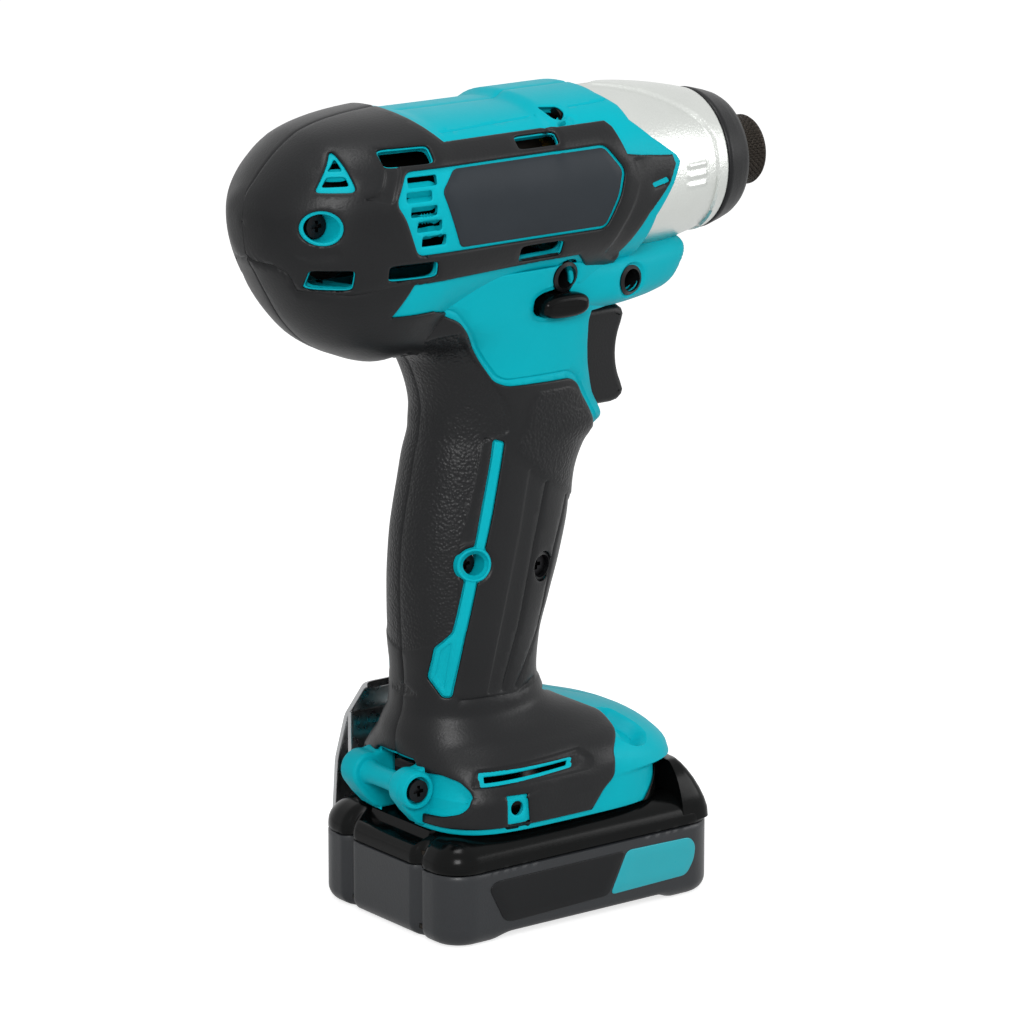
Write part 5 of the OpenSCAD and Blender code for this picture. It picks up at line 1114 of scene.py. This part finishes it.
for name, point, to_map, (x, z), bore, finish, slot in (
        # The top screw's and the chin screw's wells take the black elastomer as painted shade in their
        # recesses.
        ("shell", handle_point, handle_map, top_screw, 2.9, elastomer, "elastomer"),
        ("chin", chin_point, chin_map, chin_screw, 2.9, elastomer, "elastomer"),
        ("boss", handle_point, handle_map, rib_screw, 3.4, teal_nylon, "teal_plastic"),
        ("pocket", handle_point, handle_map, pocket_screw, 2.9, elastomer, "elastomer")):
    put(f"{name}_screw_well", *well(point, to_map, x, z, bore, WELL_FLOOR), finish, "housing", slot)
    points, faces, _ = skin(point, to_map(round_loop(x, z, bore + 0.3, bore + 0.3)), (), -0.6, 0.3)
    put(f"{name}_blind_disc", *mirrored(points, [faces]), finish, "housing", slot, wall=1.2)
rear_well = well(barrel_point, barrel_map, screw_x, AXIS_Z, 3.4, REAR_WELL_FLOOR)
put("rear_screw_well_right", *rear_well, teal_nylon, "housing", "teal_plastic")
put("rear_screw_well_left", *mirrored(*rear_well), teal_nylon, "housing", "teal_plastic")

# %% [markdown]
# The battery is two mouldings: a satin lower case and a glossy cover with a round shoulder, parted
# by a fine line. Both follow one rounded rectangle seen from above. At the rear two valleys run down
# on either side of a flat tab, and the bottom is arched between its feet.

# %% Battery shells
BATTERY_REAR, BATTERY_FRONT, BATTERY_HALF = -43.6, 40.0, 28.75
FOOT_ROUND, VALLEY_DIP, PARTING_INSET = 3.8, 2.0, 0.3
ARCH, ARCH_REAR, ARCH_FRONT, ARCH_RAMP = 1.6, -30.0, 27.0, 6.0
CASE_TOP, COVER_LOW, COVER_TOP = 18.5, 18.75, 26.5
quarter_turn = np.linspace(0, np.pi / 2, 14)


def plan_loop(x0, x1, half, corner, step=0.8):
    """A rounded rectangle seen from above: four quarter circles joined by straight sides."""
    loop = []
    for k, (x, y) in enumerate(((x1 - corner, half - corner), (x0 + corner, half - corner),
                                (x0 + corner, corner - half), (x1 - corner, corner - half))):
        a = quarter_turn + k * np.pi / 2
        loop.append(np.stack([x + corner * np.cos(a), y + corner * np.sin(a)], 1))
    return dense(np.concatenate(loop), step, True)


plan = plan_loop(BATTERY_REAR, BATTERY_FRONT, BATTERY_HALF, 8.5)
plan_normal = plan - beside(plan, 1.0)
plan_out = plan_normal if ((plan - plan.mean(0)) * plan_normal).sum() > 0 else -plan_normal
at_rear = rise_in((-36.0 - plan[:, 0]) / 4.0)
valley = np.exp(-((np.abs(plan[:, 1]) - 14.6) / 1.7) ** 4) * at_rear
tab = rise_in((13.4 - np.abs(plan[:, 1])) / 1.2) * at_rear


def battery_ring(inset, z, dip=VALLEY_DIP, arch=0.0):
    """The plan drawn in by an inset at a height, with the valleys pressed in and the bottom arched."""
    xy = plan - (inset + dip * valley)[:, None] * plan_out
    x = xy[:, 0]
    lift = arch * rise_in((x - ARCH_REAR) / ARCH_RAMP) * rise_in((ARCH_FRONT - x) / ARCH_RAMP)
    return np.column_stack([xy, z + lift])


turn = np.linspace(0, np.pi / 2, 9)
case_rings = [battery_ring(8.0, 0.0, 0.0, ARCH)]
case_rings += [battery_ring(FOOT_ROUND * (1 - np.sin(t)), FOOT_ROUND * (1 - np.cos(t)),
                            VALLEY_DIP * np.sin(t), ARCH * np.cos(t) ** 2) for t in turn]
case_rings += [battery_ring(0.0, z) for z in np.linspace(5.0, 18.2, 12)]
case_rings += [battery_ring(PARTING_INSET, CASE_TOP), battery_ring(6.0, CASE_TOP, 0.0)]
put("battery_lower_case", *stack(case_rings), satin_abs, "battery", "satin_black", ("battery_case",),
    sharp=45)
shoulder = 8.0 - 6.0 * tab
cover_rings = [battery_ring(6.0, COVER_LOW, 0.0), battery_ring(PARTING_INSET, COVER_LOW),
               battery_ring(0.0, 19.05), battery_ring(0.0, 20.0)]
cover_rings += [battery_ring(shoulder * (1 - np.cos(t)), 20.1 + (6.4 - 2.9 * tab) * np.sin(t),
                             VALLEY_DIP * np.cos(t) ** 0.5) for t in turn[1:-1]]
cover_rings += [battery_ring(shoulder, COVER_TOP - 2.9 * tab, 0.0),
                battery_ring(8.2 - 3.0 * tab, COVER_TOP - 2.7 * tab, 0.0),
                battery_ring(8.4 - 2.6 * tab, COVER_TOP - 0.4 * tab, 0.0),
                battery_ring(9.4 - 2.6 * tab, COVER_TOP, 0.0)]
put("battery_top_cover", *stack(cover_rings), gloss_abs, "battery", "gloss_black", ("battery_cover",),
    sharp=45)

# %% [markdown]
# In front the cover rises to a block that closes the foot's front, with a slope that carries on the
# foot's curve, and on either side a slanted cheek covers the foot's front corner. The rails on top
# slide into the foot and have slots for the tool's contact blades.

# %% Front block and rails
block_rows = np.array([[19.6, 39.95, 28.6], [22.0, 39.7, 28.5], [24.5, 38.8, 28.1], [27.0, 37.6, 27.4],
                       [29.5, 36.2, 26.4], [31.6, 34.8, 25.2], [33.2, 33.6, 23.9], [34.3, 32.6, 22.6],
                       [34.5, 31.8, 21.6]])
BLOCK_REAR = 28.9
round_turn = np.linspace(0, 2 * np.pi, 96, endpoint=False)
forward = power(np.maximum(np.sin(round_turn), 0), 0.34)
sideways = power(np.cos(round_turn), 0.30)
block_rings = [np.column_stack([BLOCK_REAR + (front - BLOCK_REAR) * forward, -half * sideways,
                                np.full(len(round_turn), z)]) for z, front, half in block_rows]
put("battery_front_block", *stack(block_rings), gloss_abs, "battery", "gloss_black", sharp=45)
cheek_slant = dense([(18.0, 26.9), (27.6, 34.6)], 1.0)
cheek_outline = handle_map(np.vstack([cheek_slant, seam_line(FRONT, 34.6, 26.9), across(26.9, 27.0, 19.0)]))
cheek = skin(handle_point, cheek_outline, (), 0.55, 0.25, seams=HANDLE_SEAMS)
both_sides("battery_cheek", cheek, gloss_abs, "gloss_black", wall=0.25, body="battery")
flange_loop = [(29.0, -18.0), (29.0, 18.0), (-28.0, 18.0)]
for y in (9.0, 0.0, -9.0):
    flange_loop += [(-28.0, y + 1.6), (-17.6, y + 1.6), (-17.6, y - 1.6), (-28.0, y - 1.6)]
flange_loop += [(-28.0, -18.0)]
rail_loop = [(29.0, -15.0), (29.0, 15.0), (-28.0, 15.0), (-28.0, -15.0)]
for name, loop, low, high in (("rail", rail_loop, 26.2, 29.9), ("flange", flange_loop, 29.7, 33.3)):
    made = prism(dense(loop, 2.0, True), low, high, 0.3, "z")
    put(f"battery_{name}", *made, gloss_abs, "battery", "gloss_black", sharp=45)

# %% [markdown]
# On each flank lies a long label panel with a slanted teal patch at its front. Both stay bare. They
# are thin films with a rounded lip, drawn on a flat map of the flank.

# %% Flank panels of the battery
def flank_point(m):
    """A flat map of the right flank: X and Z at the case's side."""
    return np.stack([m[:, 0], np.full(len(m), -BATTERY_HALF), m[:, 1]], 1)


panel_loop = [(-31.9, 14.2), (-29.9, 15.9), (10.3, 16.0), (5.0, 5.4), (-25.0, 4.7), (-27.4, 5.4)]
badge_loop = [(10.8, 16.0), (30.8, 15.6), (32.6, 13.2), (32.0, 9.4), (29.6, 5.9), (5.6, 5.4)]
for name, loop, finish, slot, node in (
        ("label_panel", panel_loop, panel_film, "battery_film", "battery_panels"),
        ("label_patch", badge_loop, teal_film, "teal_plastic", "battery_badges")):
    film = skin(flank_point, dense(soft(loop, 1.6), 1.0, True), (), 0.22, 0.2, pitch=3.0)
    both_sides(f"battery_{name}", film, finish, slot, node, 0.8, "battery", paired=False)

# %% [markdown]
# The belt hook is a strip of nickel-plated spring steel. A rounded section is carried along its bent
# middle line, which runs from the fold above the foot down the left flank.

# %% Belt hook
STRIP_STEP = 0.35


def strip(path, half_x, half_t, x, bend=1.6, count=40):
    """A superellipse section carried along a path of Y and Z, its corners rounded by a moving mean."""
    line = dense(path, STRIP_STEP)
    reach_n = int(bend / STRIP_STEP)
    weights = np.ones(2 * reach_n + 1) / (2 * reach_n + 1)
    padded = np.vstack([np.repeat(line[:1], reach_n, 0), line, np.repeat(line[-1:], reach_n, 0)])
    line = np.stack([np.convolve(padded[:, k], weights, "valid") for k in (0, 1)], 1)
    way = np.gradient(line, axis=0)
    normal = np.stack([-way[:, 1], way[:, 0]], 1) / np.hypot(*way.T)[:, None]
    a = np.linspace(0, 2 * np.pi, count, endpoint=False)
    wide, thick = half_x * power(np.cos(a), 0.22), half_t * power(np.sin(a), 0.5)
    rings = [np.column_stack([x + wide, p[0] + n[0] * thick, p[1] + n[1] * thick])
             for p, n in zip(line, normal)]
    return stack(rings)


HOOK_X, HOOK_HALF, STRIP_HALF = -26.0, 7.0, 0.9
hook_path = [(20.2, 54.9), (21.9, 54.9), (30.2, 44.7), (34.5, 32.3), (35.9, 16.6)]
base_path = [(28.65, 30.8), (28.65, 46.3)]
put("hook_strip", *strip(hook_path, HOOK_HALF, STRIP_HALF, HOOK_X), bright_steel, "housing", "spring_steel",
    ("belt_hook",), sharp=50)
put("hook_base", *strip(base_path, HOOK_HALF, STRIP_HALF, HOOK_X, 0.7), bright_steel, "housing",
    "spring_steel", sharp=50)

# %% [markdown]
# At the back of the foot two teal lugs hold a bar for a wrist strap. They are prisms with rounded
# edges that grow out of the shell, and the bar is turned across the tool between them. The right lug
# ends in a round collar that takes the head of the bar's screw.

# %% Strap lugs and bar
STRAP_X, STRAP_Z, LUG_ROUND = -42.0, 37.45, 4.8


def across_ring(radius, y, count):
    """A circle round the strap bar's middle line at one place across the tool."""
    a = np.linspace(0, 2 * np.pi, count, endpoint=False)
    return np.stack([STRAP_X + radius * np.cos(a), np.full(count, y), STRAP_Z + radius * np.sin(a)], 1)


lug_turn = np.linspace(np.radians(70), np.radians(215), 22)
lug_round = np.stack([STRAP_X + LUG_ROUND * np.cos(lug_turn), STRAP_Z + LUG_ROUND * np.sin(lug_turn)], 1)
lug_loop = dense(np.vstack([[(-34.0, 42.2), (-38.5, 42.4)], lug_round,
                            [(-43.6, 31.6), (-40.6, 28.4), (-38.6, 27.3), (-34.0, 27.3)]]), 0.8, True)
put("strap_lug_right", *prism(lug_loop, -11.4, -7.0, 0.8), teal_nylon, "housing", "teal_plastic", sharp=45)
put("strap_lug_left", *prism(lug_loop, 7.0, 13.3, 0.9), teal_nylon, "housing", "teal_plastic", sharp=45)
collar = [(4.7, -10.5), (4.7, -12.9), (4.4, -13.3), (3.6, -13.3), (3.4, -13.0), (3.4, -10.5)]
collar_points = np.concatenate([across_ring(radius, y, 48) for radius, y in collar])
put("strap_collar", collar_points, outward(collar_points, [grid_faces(len(collar), 48, True)]), teal_nylon,
    "housing", "teal_plastic", sharp=45)
bar_places = np.linspace(-7.6, 7.6, 25)
bar_sizes = 2.6 + 0.9 * np.abs(np.linspace(-1, 1, 25)) ** 5
bar_rings = [across_ring(radius, y, 40) for y, radius in zip(bar_places, bar_sizes)]
put("strap_bar", *stack(bar_rings), teal_nylon, "housing", "teal_plastic", sharp=45)
